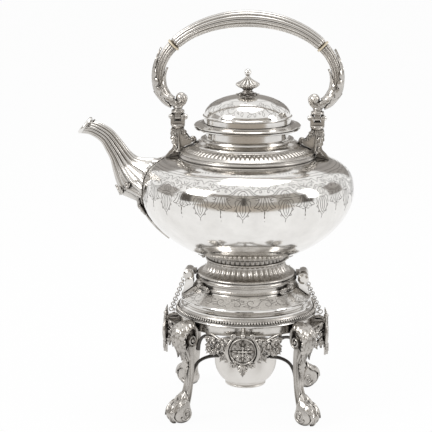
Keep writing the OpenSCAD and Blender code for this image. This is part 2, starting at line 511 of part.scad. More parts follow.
// a wing of an apron, seen flat: open scrolls, leaves and small fruit
module wing() union() {
    polygon(smooth([[0, 7], [8, 8.6], [16, 7.2], [24, 8.8], [33, 9.6], [36.6, 9.4], [36.4, 6.4], [27, 5.4], [17, 4], [8, 4.8], [0, 3]], 2));
    scroll(8.5, -1.2, 8.4, 2.4, 100, 70);
    scroll(20, 0.2, 7.2, 2.3, 250, 60);
    scroll(30, 2.4, 6.6, 2.2, 60, 60);
    circle_at(4.9, -2.2, 2.6);
    circle_at(22.5, -1.2, 2.4);
    circle_at(28.1, 4, 2.2);
    circle_at(31.5, -5.4, 2.8);
    circle_at(27, -7.2, 2.7);
    circle_at(14.6, 6.6, 2.9);
    circle_at(25.5, 7, 2.7);
    polygon(smooth([[1, -6], [6, -8], [12, -7.6], [18, -8.4], [24, -6], [27, -2.6], [24, -4], [17, -6], [10, -5.2], [1, -3]], 2));
    polygon(smooth([[2, -7], [8, -10], [10, -14.4], [7, -17.4], [1, -16.6], [-3, -13]], 2));
    polygon([[12, -7], [17, -7], [15.5, -14.5]]);
}

// a disc seen flat, at a place
module circle_at(x, z, r) translate([x, z]) circle(r = r, $fn = 20);

// a petal seen flat: two arcs that meet in points
module petal(length, width) {
    r = (length * length / 4 + width * width / 4) / width;
    intersection() {
        translate([length / 2, r - width / 2]) circle(r = r, $fn = 48);
        translate([length / 2, -r + width / 2]) circle(r = r, $fn = 48);
    }
}

// an apron: a round boss with four petals between two pierced wings, hung under the frieze
module apron(turn) color(cast) on_axis() rotate([0, 0, turn]) union() {
    translate([0, -rim_r - 8.6, 79.8]) rotate([90, 0, 0]) {
        cylinder(r = 12.4, h = 2.4, $fn = 48);
        difference() {
            translate([0, 0, -0.8]) cylinder(r = 13.5, h = 4.4, $fn = 64);
            translate([0, 0, -2]) cylinder(r = 11.7, h = 8, $fn = 64);
        }
        translate([0, 0, 2]) linear_extrude(2.2) for (a = [0, 90, 180, 270]) rotate(a) translate([1.2, 0]) petal(10, 4.2);
        translate([0, 0, 2]) linear_extrude(1.2) for (a = [45, 135, 225, 315]) rotate(a) translate([3.2, 0]) petal(7.2, 3.4);
        translate([0, 0, 3.4]) sphere(r = 2.4, $fn = 32);
        translate([0, 15.6, 1.2]) sphere(r = 2.8, $fn = 32);
        translate([0, 19.4, 0.6]) cylinder(r = 1.5, h = 2, $fn = 20);
        linear_extrude(2.6) polygon(smooth([[0, -26.4], [-3.4, -22.6], [-7.6, -17.6], [-12.4, -14.6], [-11, -10], [0, -12], [11, -10], [12.4, -14.6], [7.6, -17.6], [3.4, -22.6]], 2));
        translate([0, 0, 0.4]) linear_extrude(1.6) polygon([[-1.4, 12], [1.4, 12], [1.2, 20.6], [-1.2, 20.6]]);
    }
    translate([-2.5, -rim_r - 9, 82.4]) cube([5, 18, 7.9]);
    for (s = [0, 1]) mirror([s, 0, 0]) translate([8.6, -rim_r - 9.8, 80.6]) rotate([0, 0, 40.5]) rotate([90, 0, 0]) translate([0, 0, -1.6]) linear_extrude(3.2) wing();
}

// front apron
module apron_front() apron(0);

// back apron
module apron_back() apron(180);

// left apron
module apron_left() apron(270);

// right apron
module apron_right() apron(90);

// leaf clasps: small scrolled leaves on the gallery, beside the ears
module leaf_clasps() color(silver) on_axis() for (a = [38, 142, 218, 322]) rotate([0, 0, a]) translate([52.3, 0, 0]) rotate([90, 0, 90]) union() {
    linear_extrude(1.8) union() {
        polygon(smooth([[-8.6, 128.6], [-6, 131.6], [-3.6, 134], [0, 136.6], [3.6, 134], [6, 131.6], [8.6, 128.6], [4, 129.6], [0, 128], [-4, 129.6]], 2));
        for (s = [-1, 1]) translate([s * 8, 129.6]) circle(r = 1.9, $fn = 20);
    }
    translate([0, 132.2, 1.6]) sphere(r = 1.9, $fn = 24);
}

// stand ears: pairs of upright ears on the shoulder that carry the pins
module stand_ears() color(cast) on_axis() for (s = [0, 1]) mirror([s, 0, 0]) for (d = [-1, 1]) difference() {
    translate([0, d * 6.5, 0]) rotate([90, 0, 0]) translate([0, 0, -1.8]) linear_extrude(3.6) union() {
        translate([pin_x, seat_z]) circle(r = knuckle_r, $fn = 48);
        polygon([[pin_x - 5.2, seat_z], [pin_x + 5.2, seat_z], [pin_x + 3.4, 131], [pin_x + 5, 126], [pin_x + 6, band_height(pin_x + 6) + seat],
            [pin_x - 3.9, band_height(pin_x - 3.9) + seat], [pin_x - 4.7, 129.4], [pin_x - 3.8, 133]]);
    }
    translate([pin_x, 0, seat_z]) rotate([90, 0, 0]) cylinder(r = pin_r + fit, h = 30, center = true, $fn = 32);
}

// a tipping pin with a round head and an eye for its chain
module tipping_pin() {
    translate([0, 9.6, 0]) rotate([90, 0, 0]) cylinder(r = pin_r, h = 20, $fn = 32);
    translate([0, -8.6, 0]) rotate([90, 0, 0]) cylinder(r = 5.6, h = 2.2, $fn = 48);
    translate([0, -10.6, 0]) rotate([90, 0, 0]) cylinder(r1 = 5.6, r2 = 3, h = 1.6, $fn = 48);
    translate([5.2, -10, -5.2]) rotate([90, 0, 0]) rotate_extrude($fn = 32) translate([eye_r, 0]) circle(r = 0.55, $fn = 20);
}

// hinge pin: the left pin, that the kettle tips on
module hinge_pin() color(silver) on_seat() translate([-pin_x, 0, 0]) mirror([1, 0, 0]) tipping_pin();

// lock pin: the right pin, drawn forward out of the kettle's lug so that the kettle is free to tip
module lock_pin() color(silver) on_seat() translate([pin_x, -11, 0]) tipping_pin();

// a chain of round links that hang in two eyes; each link is turned a quarter from the one before
module chain(from, to, links) {
    flat = [to[0] - from[0], 0, to[2] - from[2]];
    top = from + flat / norm(flat) * eye_r;
    low = to - flat / norm(flat) * eye_r;
    e = (low - top) / norm(low - top);
    across = cross([0, 1, 0], e) / norm(cross([0, 1, 0], e));
    for (k = [0 : links - 1]) let (c = lerp(top + e * 0.87, low - e * 0.87, k / (links - 1)), z = k % 2 == 0 ? across : cross(e, across), y = cross(z, e))
        multmatrix([[e[0], y[0], z[0], c[0]], [e[1], y[1], z[1], c[1]], [e[2], y[2], z[2], c[2]]])
            rotate_extrude($fn = 24) translate([2.05, 0]) circle(r = 0.5, $fn = 16);
}

// left chain
module chain_left() color(silver) on_seat() chain([-pin_x - 5.2, -10, -5.2], [-eye_x, -10, eye_z - seat_z], 11);

// right chain
module chain_right() color(silver) on_seat() chain([pin_x + 5.2, -21, -5.2], [eye_x, -10, eye_z - seat_z], 11);

// chain eyes: rings on short studs at the frieze, where the chains end
module chain_eyes() color(cast) on_axis() for (s = [0, 1]) mirror([s, 0, 0]) {
    translate([eye_x, -10, eye_z]) rotate([90, 0, 0]) rotate_extrude($fn = 32) translate([eye_r, 0]) circle(r = 0.55, $fn = 20);
    translate([eye_x - 4.2, -10.8, eye_z - 1.9]) cube([2.3, 1.6, 2.4]);
}

// lamp arms: four bent arms from the legs to the lamp's ring
module lamp_arms() color(dark) on_axis() for (a = [45, 135, 225, 315]) rotate([0, 0, a]) rotate([90, 0, 0]) translate([0, 0, -2]) linear_extrude(4)
    polygon(concat(smooth(concat([for (p = [[2.5, 42], [1.9, 47.4], [-0.4, 53], [-4.4, 57.6], [-10, 60.6]]) [rim_r + p[0], p[1]]], [for (p = [[22.4, 61.8], [13.4, 61.2], [4.7, 60]]) [lamp_r + p[0], p[1]]]), 2),
        smooth(concat([for (p = [[4.7, 57.4], [13.4, 58.4], [22.4, 58.8]]) [lamp_r + p[0], p[1]]], [for (p = [[-10.4, 57.4], [-5.2, 53.4], [-2.2, 48], [-0.8, 42]]) [rim_r + p[0], p[1]]]), 2)));

// lamp ring: the ring that the lamp drops into
module lamp_ring() color(dark) on_axis() turned([[lamp_r + 0.7, 57.2], [lamp_r + 4.4, 57.2], [lamp_r + 4.4, 60.4], [lamp_r + 0.7, 60.4]]);

// lamp bowl: the plain bowl that holds the spirit
module lamp_bowl() color(silver) on_axis() turned([[0, 22.6], [19.6, 22.6], [20.4, 23.4], [20.4, 25.4], [19.4, 26.6], [21.6, 27.6], [23.4, 29.4], [26.8, 33.4], [29.6, 38.4], [31.2, 43.6], [lamp_r, 49], [lamp_r, 60.7],
    [34.6, 60.7], [34.6, 62], [30.2, 62], [30.2, 49], [29.8, 44], [28.2, 39], [25.6, 34.4], [22, 30.4], [18, 26.4], [0, 26.4]]);

// lamp cover: the low dome over the bowl, with a hole for the wick's tube
module lamp_cover() color(silver) on_axis() difference() {
    turned([[34.2, 62.3], [34.2, 63.2], [30, 64.8], [22, 67.6], [12, 69.2], [9.4, 69.4], [9.4, 71], [6.3, 71], [6.3, 66.8], [12, 66.8], [22, 65.2], [29, 62.3]]);
    translate([18, 0, 60]) cylinder(r = 1.2, h = 12, $fn = 20);
}

// wick tube: the burner tube, with the forked post for the snuffer behind it
module wick_tube() color(silver) on_axis() difference() {
    union() {
        translate([0, 0, 64]) cylinder(r = 6, h = 16, $fn = 48);
        translate([0, 0, 71.3]) cylinder(r = 8.6, h = 1.4, $fn = 48);
        for (s = [-1, 1]) {
            translate([s * 3.1 - 1, 5, 71.3]) cube([2, 6, 1.4]);
            translate([s * 3.1 - 1, 9.3, 71.3]) cube([2, 3.4, 2.6]);
            translate([s * 3.1, 11, 74]) rotate([0, 90, 0]) cylinder(r = 1.7, h = 2, center = true, $fn = 24);
        }
    }
    translate([0, 0, 60]) cylinder(r = 4.6, h = 30, $fn = 48);
    translate([0, 11, 74]) rotate([0, 90, 0]) cylinder(r = 0.7, h = 20, center = true, $fn = 20);
}

// wick: a round cotton wick that reaches down into the spirit
module wick() color(cotton) on_axis() union() {
    translate([0, 0, 34]) cylinder(r = 4.3, h = 47.6, $fn = 40);
    translate([0, 0, 81.6]) cylinder(r1 = 4.3, r2 = 2.6, h = 1.6, $fn = 40);
}

// snuffer: a hinged cap that drops over the wick
module snuffer() color(silver) on_axis() difference() {
    union() {
        turned([[6.9, 78.9], [7.9, 78.9], [7.9, 86.6], [6.6, 88.6], [3, 89.8], [1.6, 91.2], [0, 91.4], [0, 88.4], [3, 88.2], [6, 87.2], [6.9, 86]]);
        translate([-1.7, 7.6, 80.4]) cube([3.4, 3.4, 1.6]);
        translate([-1.7, 9.4, 74]) cube([3.4, 3.2, 8]);
        translate([0, 11, 74]) rotate([0, 90, 0]) cylinder(r = 1.7, h = 3.4, center = true, $fn = 24);
        translate([-1.7, 12.4, 80.4]) cube([3.4, 2, 1.4]);
    }
    translate([0, 11, 74]) rotate([0, 90, 0]) cylinder(r = 0.7 + fit, h = 8, center = true, $fn = 20);
}

// snuffer pin: held in the fork on the tube
module snuffer_pin() color(dark) on_axis() translate([0, 11, 74]) rotate([0, 90, 0]) cylinder(r = 0.7, h = 8.6, center = true, $fn = 20);

kettle_body();
kettle_bowl();
neck_collar();
neck_skirt();
neck_tube();
base_plate();
foot_band();
kettle_foot();
spout();
spout_lip();
spout_leaf();
spout_tip_leaf();
lid_shell();
lid_flange();
lid_hinge_leaf();
lid_hinge_ears();
lid_hinge_pin();
finial_base();
finial_knob();
finial_ball();
handle_grip();
insulators();
arm_left();
arm_right();
arm_scrolls();
handle_tongues();
handle_pins();
post_left();
post_right();
kettle_lugs();
gallery();
shoulder();
moulding();
bead_border();
frieze();
leg_front_left();
leg_front_right();
leg_back_left();
leg_back_right();
apron_front();
apron_back();
apron_left();
apron_right();
leaf_clasps();
stand_ears();
hinge_pin();
lock_pin();
chain_left();
chain_right();
chain_eyes();
lamp_arms();
lamp_ring();
lamp_bowl();
lamp_cover();
wick_tube();
wick();
snuffer();
snuffer_pin();
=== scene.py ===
import math
import random
import bmesh
import bpy
from math import sin, cos, pi, radians, hypot
from mathutils import Vector, Matrix, Euler


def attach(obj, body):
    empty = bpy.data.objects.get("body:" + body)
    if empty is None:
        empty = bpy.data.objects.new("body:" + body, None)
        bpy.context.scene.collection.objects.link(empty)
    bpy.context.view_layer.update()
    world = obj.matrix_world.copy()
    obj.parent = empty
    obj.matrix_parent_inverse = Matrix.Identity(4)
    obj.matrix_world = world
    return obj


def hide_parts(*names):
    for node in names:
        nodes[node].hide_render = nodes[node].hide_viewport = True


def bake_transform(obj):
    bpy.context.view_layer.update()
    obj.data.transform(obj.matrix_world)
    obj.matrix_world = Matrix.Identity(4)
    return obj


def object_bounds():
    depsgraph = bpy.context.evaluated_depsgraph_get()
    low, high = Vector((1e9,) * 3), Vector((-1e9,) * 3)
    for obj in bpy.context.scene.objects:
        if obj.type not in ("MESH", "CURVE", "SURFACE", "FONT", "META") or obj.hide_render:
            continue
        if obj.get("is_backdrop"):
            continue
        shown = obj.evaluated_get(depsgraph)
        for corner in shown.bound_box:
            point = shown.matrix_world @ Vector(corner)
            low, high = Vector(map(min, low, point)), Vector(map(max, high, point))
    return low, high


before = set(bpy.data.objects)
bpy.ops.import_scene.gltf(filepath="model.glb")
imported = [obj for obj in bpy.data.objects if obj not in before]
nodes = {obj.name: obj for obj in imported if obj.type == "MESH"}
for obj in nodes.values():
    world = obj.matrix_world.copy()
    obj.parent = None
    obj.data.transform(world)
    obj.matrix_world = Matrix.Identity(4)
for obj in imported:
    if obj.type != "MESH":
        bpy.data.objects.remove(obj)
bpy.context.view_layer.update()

scene = bpy.context.scene

# THE ROOM
# The kettle stands on a pale table in a soft, bright photographer's room.
# The camera looks a little down from the front, slightly from the right.
# Grey cards and a tan cloth hang round it and show only in the silver.
camera_lens = bpy.data.cameras.new("camera")
camera_lens.lens = 144.5
camera_lens.sensor_width = 36
camera_lens.clip_end = 50
camera = bpy.data.objects.new("camera", camera_lens)
scene.collection.objects.link(camera)
camera.matrix_world = (Matrix.Translation((0.0909, -1.7000, 0.5685))
    @ Euler((radians(77.68), 0, radians(3.04))).to_matrix().to_4x4()
    @ Euler((0, 0, radians(0.24))).to_matrix().to_4x4())
scene.camera = camera
scene.view_settings.view_transform = "Standard"


def shader(material, kind, **values):
    """A node of one kind: in_NAME sets a socket, any other value a setting."""
    node = material.node_tree.nodes.new(kind)
    for key, value in values.items():
        if key.startswith("in_"):
            socket = key[3:].replace("_", " ")
            node.inputs[int(socket) if socket.isdigit() else socket].default_value = value
        else:
            setattr(node, key, value)
    return node


def bare(material):
    """A material or world with no nodes yet, and the call that wires two of its sockets."""
    material.use_nodes = True
    material.node_tree.nodes.clear()
    return material, material.node_tree.links.new


def background_share(material, wire):
    """1 for rays that see the background directly, in silver or through glass, else 0."""
    path = shader(material, "ShaderNodeLightPath")
    first = shader(material, "ShaderNodeMath", operation="MAXIMUM")
    both = shader(material, "ShaderNodeMath", operation="MAXIMUM")
    wire(path.outputs["Is Camera Ray"], first.inputs[0])
    wire(path.outputs["Is Glossy Ray"], first.inputs[1])
    wire(first.outputs[0], both.inputs[0])
    wire(path.outputs["Is Transmission Ray"], both.inputs[1])
    return both.outputs[0]


room, wire = bare(bpy.data.worlds.new("room"))
scene.world = room
seen = shader(room, "ShaderNodeBackground", in_Color=(1, 1, 1, 1), in_Strength=1.0)
soft = shader(room, "ShaderNodeBackground", in_Color=(1, 1, 1, 1), in_Strength=0.5)
mixed = shader(room, "ShaderNodeMixShader")
ends = shader(room, "ShaderNodeOutputWorld")
wire(background_share(room, wire), mixed.inputs[0])
wire(soft.outputs[0], mixed.inputs[1])
wire(seen.outputs[0], mixed.inputs[2])
wire(mixed.outputs[0], ends.inputs[0])

paint, wire = bare(bpy.data.materials.new("pale_table"))
matt = shader(paint, "ShaderNodeBsdfDiffuse", in_Color=(0.9, 0.9, 0.9, 1))
glow = shader(paint, "ShaderNodeEmission", in_Color=(1, 1, 1, 1), in_Strength=1.0)
share = shader(paint, "ShaderNodeMath", operation="MULTIPLY", in_1=0.96)
mixed = shader(paint, "ShaderNodeMixShader")
ends = shader(paint, "ShaderNodeOutputMaterial")
wire(background_share(paint, wire), share.inputs[0])
wire(share.outputs[0], mixed.inputs[0])
wire(matt.outputs[0], mixed.inputs[1])
wire(glow.outputs[0], mixed.inputs[2])
wire(mixed.outputs[0], ends.inputs[0])
table_top = bpy.data.meshes.new("table_top")
table_top.from_pydata([(-6, -6, 0), (6, -6, 0), (6, 6, 0), (-6, 6, 0)], [], [(0, 1, 2, 3)])
table_top.materials.append(paint)
table_top = bpy.data.objects.new("table_top", table_top)
scene.collection.objects.link(table_top)
table_top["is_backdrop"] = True


def softbox(name, place, size, power):
    """A large soft lamp that hangs in the room and faces the kettle."""
    lamp = bpy.data.lights.new(name, "AREA")
    lamp.shape = "RECTANGLE"
    lamp.size, lamp.size_y = size
    lamp.energy = power
    holder = bpy.data.objects.new(name, lamp)
    scene.collection.objects.link(holder)
    holder.location = place
    holder.rotation_euler = (Vector((0, 0, 0.2)) - Vector(place)).to_track_quat("-Z", "Y").to_euler()


softbox("softbox_left", (-1.4, -1.0, 1.3), (0.8, 0.9), 17)
softbox("softbox_right", (1.6, -0.4, 0.9), (0.4, 1.1), 6)
softbox("softbox_top", (0.1, 0.3, 1.9), (0.9, 0.9), 9)


def hung_sheet(name, tone, corners, faces):
    """A sheet of plain paper or cloth in the room, seen only in the silver."""
    paper, wire = bare(bpy.data.materials.new(name))
    wash = shader(paper, "ShaderNodeEmission", in_Color=(*tone, 1), in_Strength=1.0)
    wire(wash.outputs[0], shader(paper, "ShaderNodeOutputMaterial").inputs[0])
    sheet = bpy.data.meshes.new(name)
    sheet.from_pydata(corners, [], faces)
    sheet.materials.append(paper)
    stand = bpy.data.objects.new(name, sheet)
    scene.collection.objects.link(stand)
    stand.visible_camera = stand.visible_diffuse = stand.visible_shadow = False
    stand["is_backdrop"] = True


def card(name, tone, start, stop, low, high, steps=10, far=3.4):
    """A card curved round the table from one angle to another, in degrees from the front."""
    corners = []
    for k in range(steps + 1):
        a = radians(start + (stop - start) * k / steps)
        corners += [(far * sin(a), -far * cos(a), low), (far * sin(a), -far * cos(a), high)]
    hung_sheet(name, tone, corners, [(2 * k, 2 * k + 2, 2 * k + 3, 2 * k + 1) for k in range(steps)])


card("card_front", (0.42, 0.395, 0.36), -58, 62, -0.1, 2.6, 30, 3.6)
card("card_window_left", (0.78, 0.77, 0.76), -44, -20, 0.35, 1.6)
card("card_window_right", (0.70, 0.68, 0.66), 14, 34, 0.45, 1.5)
card("card_dark_left", (0.10, 0.09, 0.08), -72, -58, 0.0, 1.9)
card("card_dark_middle", (0.07, 0.065, 0.06), -3, 2, -0.1, 1.5)
card("card_dark_right", (0.10, 0.09, 0.08), 62, 76, 0.0, 1.6)
card("card_left", (0.45, 0.43, 0.41), -108, -80, 0.2, 2.2)
card("card_right", (0.40, 0.38, 0.36), 98, 124, 0.2, 2.2)
card("card_back", (0.36, 0.34, 0.32), 152, 208, 0.3, 2.4)
hung_sheet("tan_cloth", (0.46, 0.41, 0.35),
    [(-2.6, -3.3, 0.01), (2.8, -3.3, 0.01), (1.5, -1.0, 0.01), (-1.5, -1.0, 0.01)], [(0, 1, 2, 3)])

# KETTLE BODY
# The body is raised from one sheet of silver, burnished bright inside and out.
# The upper half is engraved by hand with strapwork and hanging leaves.
# The neck and the spout are soldered over holes in it.
AXIS, SEAT = 31.5, 138.5      # x of the kettle's axis, and height of the gallery it stands on
BODY_R, WIDEST = 106.3, 83.4  # the widest line: radius, and height over the kettle's foot
RISE, CROWN = 39.7, 3.31      # the upper half: height, and exponent of its curve
DROP, BELLY = 71, 1.78        # the lower half: depth, and exponent of its curve
BOTTOM, WALL = 25.4, 1.6      # height of the flat bottom, and thickness of the metal
TURN_IN = 116                 # above this height points of the body go by their radius


def piece(name, shape, finish, body, stands_for=(), crease=60):
    """One piece from points in millimetres round the kettle's axis, over the gallery or the table."""
    points, faces = shape
    lift = SEAT if body in ("kettle", "lid", "handle") else 0.0
    mesh = bpy.data.meshes.new(name)
    mesh.from_pydata([((x + AXIS) / 1000, y / 1000, (z + lift) / 1000) for x, y, z in points], [], faces)
    work = bmesh.new()
    work.from_mesh(mesh)
    bmesh.ops.remove_doubles(work, verts=work.verts, dist=0.000002)
    bmesh.ops.dissolve_degenerate(work, edges=work.edges, dist=0.000001)
    bmesh.ops.recalc_face_normals(work, faces=work.faces)
    work.to_mesh(mesh)
    work.free()
    mesh.polygons.foreach_set("use_smooth", [True] * len(mesh.polygons))
    mesh.set_sharp_from_angle(angle=radians(crease))
    mesh.materials.append(finish)
    made = bpy.data.objects.new(name, mesh)
    scene.collection.objects.link(made)
    if body:
        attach(made, body)
    if stands_for:
        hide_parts(*stands_for)
    return made


def finished(name, finish):
    """A piece that keeps its turned or cut form gets its finish."""
    part = nodes[name]
    part.data.materials.clear()
    part.data.materials.append(finish)
    part.data.polygons.foreach_set("use_smooth", [True] * len(part.data.polygons))
    part.data.set_sharp_from_angle(angle=radians(35))


def two_tone(material, first, second):
    """A mix of two colours, its share still to be wired."""
    mix = shader(material, "ShaderNodeMix", data_type="RGBA")
    mix.inputs[6].default_value = (*first, 1)
    mix.inputs[7].default_value = (*second, 1)
    return mix


def metal(name, bright, hollow_shade_and_tarnish, polish, reach, depth, scratch, cloud=0.25):
    """Silver: bright on open metal, darkened in hollows narrower than reach and where pieces meet (painted
    shade together with tarnish there), finely scratched.
    """
    made, wire = bare(bpy.data.materials.new(name))
    where = shader(made, "ShaderNodeTexCoord")
    breath = shader(made, "ShaderNodeTexNoise", in_Scale=55.0, in_Detail=5.0, in_Roughness=0.6)
    grain = shader(made, "ShaderNodeTexNoise", in_Scale=2600.0, in_Detail=3.0, in_Roughness=0.7)
    wire(where.outputs["Object"], breath.inputs["Vector"])
    wire(where.outputs["Object"], grain.inputs["Vector"])
    # painted shade: ambient occlusion darkens the colour in hollows and between touching pieces, standing also
    # for tarnish lodged there
    hollow = shader(made, "ShaderNodeAmbientOcclusion", in_Distance=reach, samples=8)
    unshaded_open = shader(made, "ShaderNodeMapRange", in_1=0.25, in_2=0.92, in_3=0.0, in_4=1.0)
    wire(hollow.outputs["AO"], unshaded_open.inputs[0])
    spotted = shader(made, "ShaderNodeMapRange", in_1=0.3, in_2=0.7, in_3=1 - cloud, in_4=1.0)
    wire(breath.outputs["Fac"], spotted.inputs[0])
    unshaded_untarnished = shader(made, "ShaderNodeMath", operation="MULTIPLY")
    wire(unshaded_open.outputs[0], unshaded_untarnished.inputs[0])
    wire(spotted.outputs[0], unshaded_untarnished.inputs[1])
    share = shader(made, "ShaderNodeMapRange", in_1=0.0, in_2=1.0, in_3=1 - depth, in_4=1.0)
    wire(unshaded_untarnished.outputs[0], share.inputs[0])
    colour = two_tone(made, hollow_shade_and_tarnish, bright)
    wire(share.outputs[0], colour.inputs[0])
    rough = shader(made, "ShaderNodeMapRange", in_1=0.0, in_2=1.0, in_3=min(0.7, polish * 2.6), in_4=polish)
    wire(unshaded_untarnished.outputs[0], rough.inputs[0])
    marks = shader(made, "ShaderNodeBump", in_Strength=scratch, in_Distance=0.00005)
    wire(grain.outputs["Fac"], marks.inputs["Height"])
    skin = shader(made, "ShaderNodeBsdfPrincipled", in_Metallic=1.0)
    wire(colour.outputs[2], skin.inputs["Base Color"])
    wire(rough.outputs[0], skin.inputs["Roughness"])
    wire(marks.outputs[0], skin.inputs["Normal"])
    wire(skin.outputs[0], shader(made, "ShaderNodeOutputMaterial").inputs[0])
    return made


# the second colour of each silver is its painted shade and tarnish in hollows
mirror_silver = metal("mirror_silver", (0.86, 0.845, 0.82), (0.26, 0.23, 0.20), 0.09, 0.008, 0.6, 0.12)
turned_silver = metal("turned_silver", (0.74, 0.715, 0.68), (0.09, 0.075, 0.06), 0.15, 0.008, 0.95, 0.2)
cast_silver = metal("cast_silver", (0.64, 0.61, 0.57), (0.035, 0.027, 0.021), 0.21, 0.0065, 1.0, 0.35, 0.35)
cut_line = metal("cut_line", (0.12, 0.105, 0.09), (0.06, 0.052, 0.045), 0.45, 0.001, 0.4, 0.3)


def turned(section, steps=128, wave=None):
    """A closed section (radius, height) turned about the axis; wave changes it round the turn."""
    points = []
    for k in range(steps):
        a = 2 * pi * k / steps
        for r, z in section:
            q, h = wave(a, r, z) if wave else (r, z)
            points.append((q * cos(a), q * sin(a), h))
    n = len(section)
    faces = []
    for i in range(n):
        j = (i + 1) % n
        if section[i][0] < 1e-6 and section[j][0] < 1e-6:
            continue
        faces += [(k * n + i, (k + 1) % steps * n + i, (k + 1) % steps * n + j, k * n + j)
            for k in range(steps)]
    return points, faces


def joined(*shapes):
    """Several shapes as one."""
    points, faces = [], []
    for p, f in shapes:
        faces += [tuple(i + len(points) for i in face) for face in f]
        points += p
    return points, faces


def bowl_radius(h):
    """The body's outer radius at a height over the kettle's foot."""
    if h >= WIDEST:
        return BODY_R * max(0.0, 1 - ((h - WIDEST) / RISE) ** CROWN) ** (1 / CROWN)
    return BODY_R * max(0.0, 1 - ((WIDEST - h) / DROP) ** BELLY) ** (1 / BELLY)


def shoulder_height(r):
    """The height of the body's shoulder at a radius."""
    return WIDEST + RISE * (1 - (r / BODY_R) ** CROWN) ** (1 / CROWN)


def on_bowl(angle, h, lift=0.0):
    """A point on the body: degrees from the front, growing to the right, height, and lift off the metal."""
    e = 0.05
    if h > TURN_IN:
        r = bowl_radius(TURN_IN) - (h - TURN_IN)
        z = shoulder_height(r)
        n = Vector(((z - shoulder_height(r + e)) / e, 1)).normalized()
    else:
        r, z = bowl_radius(h), h
        n = Vector((1, (r - bowl_radius(z + e)) / e)).normalized()
    a = radians(angle)
    return Vector(((r + n[0] * lift) * sin(a), -(r + n[0] * lift) * cos(a), z + n[1] * lift))


def half_bowl(inset):
    """The body's section from the flat bottom to the neck, drawn in by its thickness."""
    section = []
    for k in range(61):
        t = radians(-57 + 2 * k)
        if t < 0:
            section.append(((BODY_R - inset) * cos(t) ** (2 / BELLY),
                WIDEST - (DROP - inset) * sin(-t) ** (2 / BELLY)))
        elif t < radians(63):
            section.append(((BODY_R - inset) * cos(t) ** (2 / CROWN),
                WIDEST + (RISE - inset) * sin(t) ** (2 / CROWN)))
    return section + [(r, shoulder_height(r) - inset) for r in (70, 64, 56, 48, 39.3)]


shell = turned([(0, BOTTOM), (53, BOTTOM)] + half_bowl(0) + half_bowl(WALL)[::-1] + [(52, 27), (0, 27)], 192)
kettle_body = piece("kettle_body_raised", shell, mirror_silver, "kettle",
    ["kettle_body", "kettle_bowl"], 30)
# the hole under the spout is 25 mm across, drilled 94 mm over the kettle's foot
drill = bpy.data.meshes.new("spout_drill")
drill.from_pydata([((AXIS + x) / 1000, 0.0125 * cos(k * pi / 16), 0.2325 + 0.0125 * sin(k * pi / 16))
    for x in (-112, -80) for k in range(32)], [],
    [(k, (k + 1) % 32, 32 + (k + 1) % 32, 32 + k) for k in range(32)]
    + [tuple(range(31, -1, -1)), tuple(range(32, 64))])
drill = bpy.data.objects.new("spout_drill", drill)
scene.collection.objects.link(drill)
hole = kettle_body.modifiers.new("spout_hole", "BOOLEAN")
hole.object = drill
bpy.context.view_layer.update()
drilled = bpy.data.meshes.new_from_object(kettle_body.evaluated_get(bpy.context.evaluated_depsgraph_get()))
kettle_body.modifiers.clear()
kettle_body.data = drilled
bpy.data.objects.remove(drill)


def engraved(place, strokes, width):
    """Cuts of a graver: narrow dark strips that lie in the surface and taper at both ends."""
    proud = 0.045
    points, faces = [], []
    for stroke in strokes:
        line = [Vector(place(s, t, 0.0)) for s, t in stroke]
        up = [(Vector(place(s, t, 1.0)) - Vector(place(s, t, 0.0))).normalized() for s, t in stroke]
        start = len(points)
        last = len(line) - 1
        for i, p in enumerate(line):
            along = (line[min(i + 1, last)] - line[max(i - 1, 0)]).normalized()
            side = along.cross(up[i]) * width * (0.35 + 0.65 * sin(pi * (i + 0.5) / (last + 1)) ** 0.5) / 2
            edge = up[i] * proud * 0.6
            points += [tuple(p + side + edge), tuple(p + up[i] * proud), tuple(p - side + edge)]
        for i in range(last):
            k = start + 3 * i
            faces += [(k, k + 1, k + 4, k + 3), (k + 1, k + 2, k + 5, k + 4)]
    return points, faces


def eased(values, steps=8):
    """A smooth run of values or points through a few of them."""
    run = []
    for i in range(len(values) - 1):
        a, b, c, d = [Vector(values[min(max(i + k, 0), len(values) - 1)]) for k in (-1, 0, 1, 2)]
        for k in range(steps):
            t = k / steps
            run.append(0.5 * (2 * b + (c - a) * t + (2 * a - 5 * b + 4 * c - d) * t * t
                + (3 * b - a - 3 * c + d) * t ** 3))
    return run + [Vector(values[-1])]


def drawn(points, steps=5):
    """A smooth line through a few points."""
    return [tuple(p) for p in eased(points, steps)]


def both(strokes):
    """Strokes and the same mirrored about the middle line."""
    return strokes + [[(-s, t) for s, t in stroke] for stroke in strokes]


def curl(x, z, r, start, turns):
    """A little spiral stroke that closes to a quarter of its radius; a degree of the body is 1.83 mm."""
    stroke = []
    for k in range(15):
        a, near = start + 2 * pi * turns * k / 14, r * (1 - 0.75 * k / 14)
        stroke.append((x + near * cos(a) / 1.83, z + near * sin(a)))
    return stroke


def repeated(strokes, count):
    """The strokes of one repeat, drawn count times round the turn."""
    return [[(s + 360 / count * k, t) for s, t in stroke] for k in range(count) for stroke in strokes]


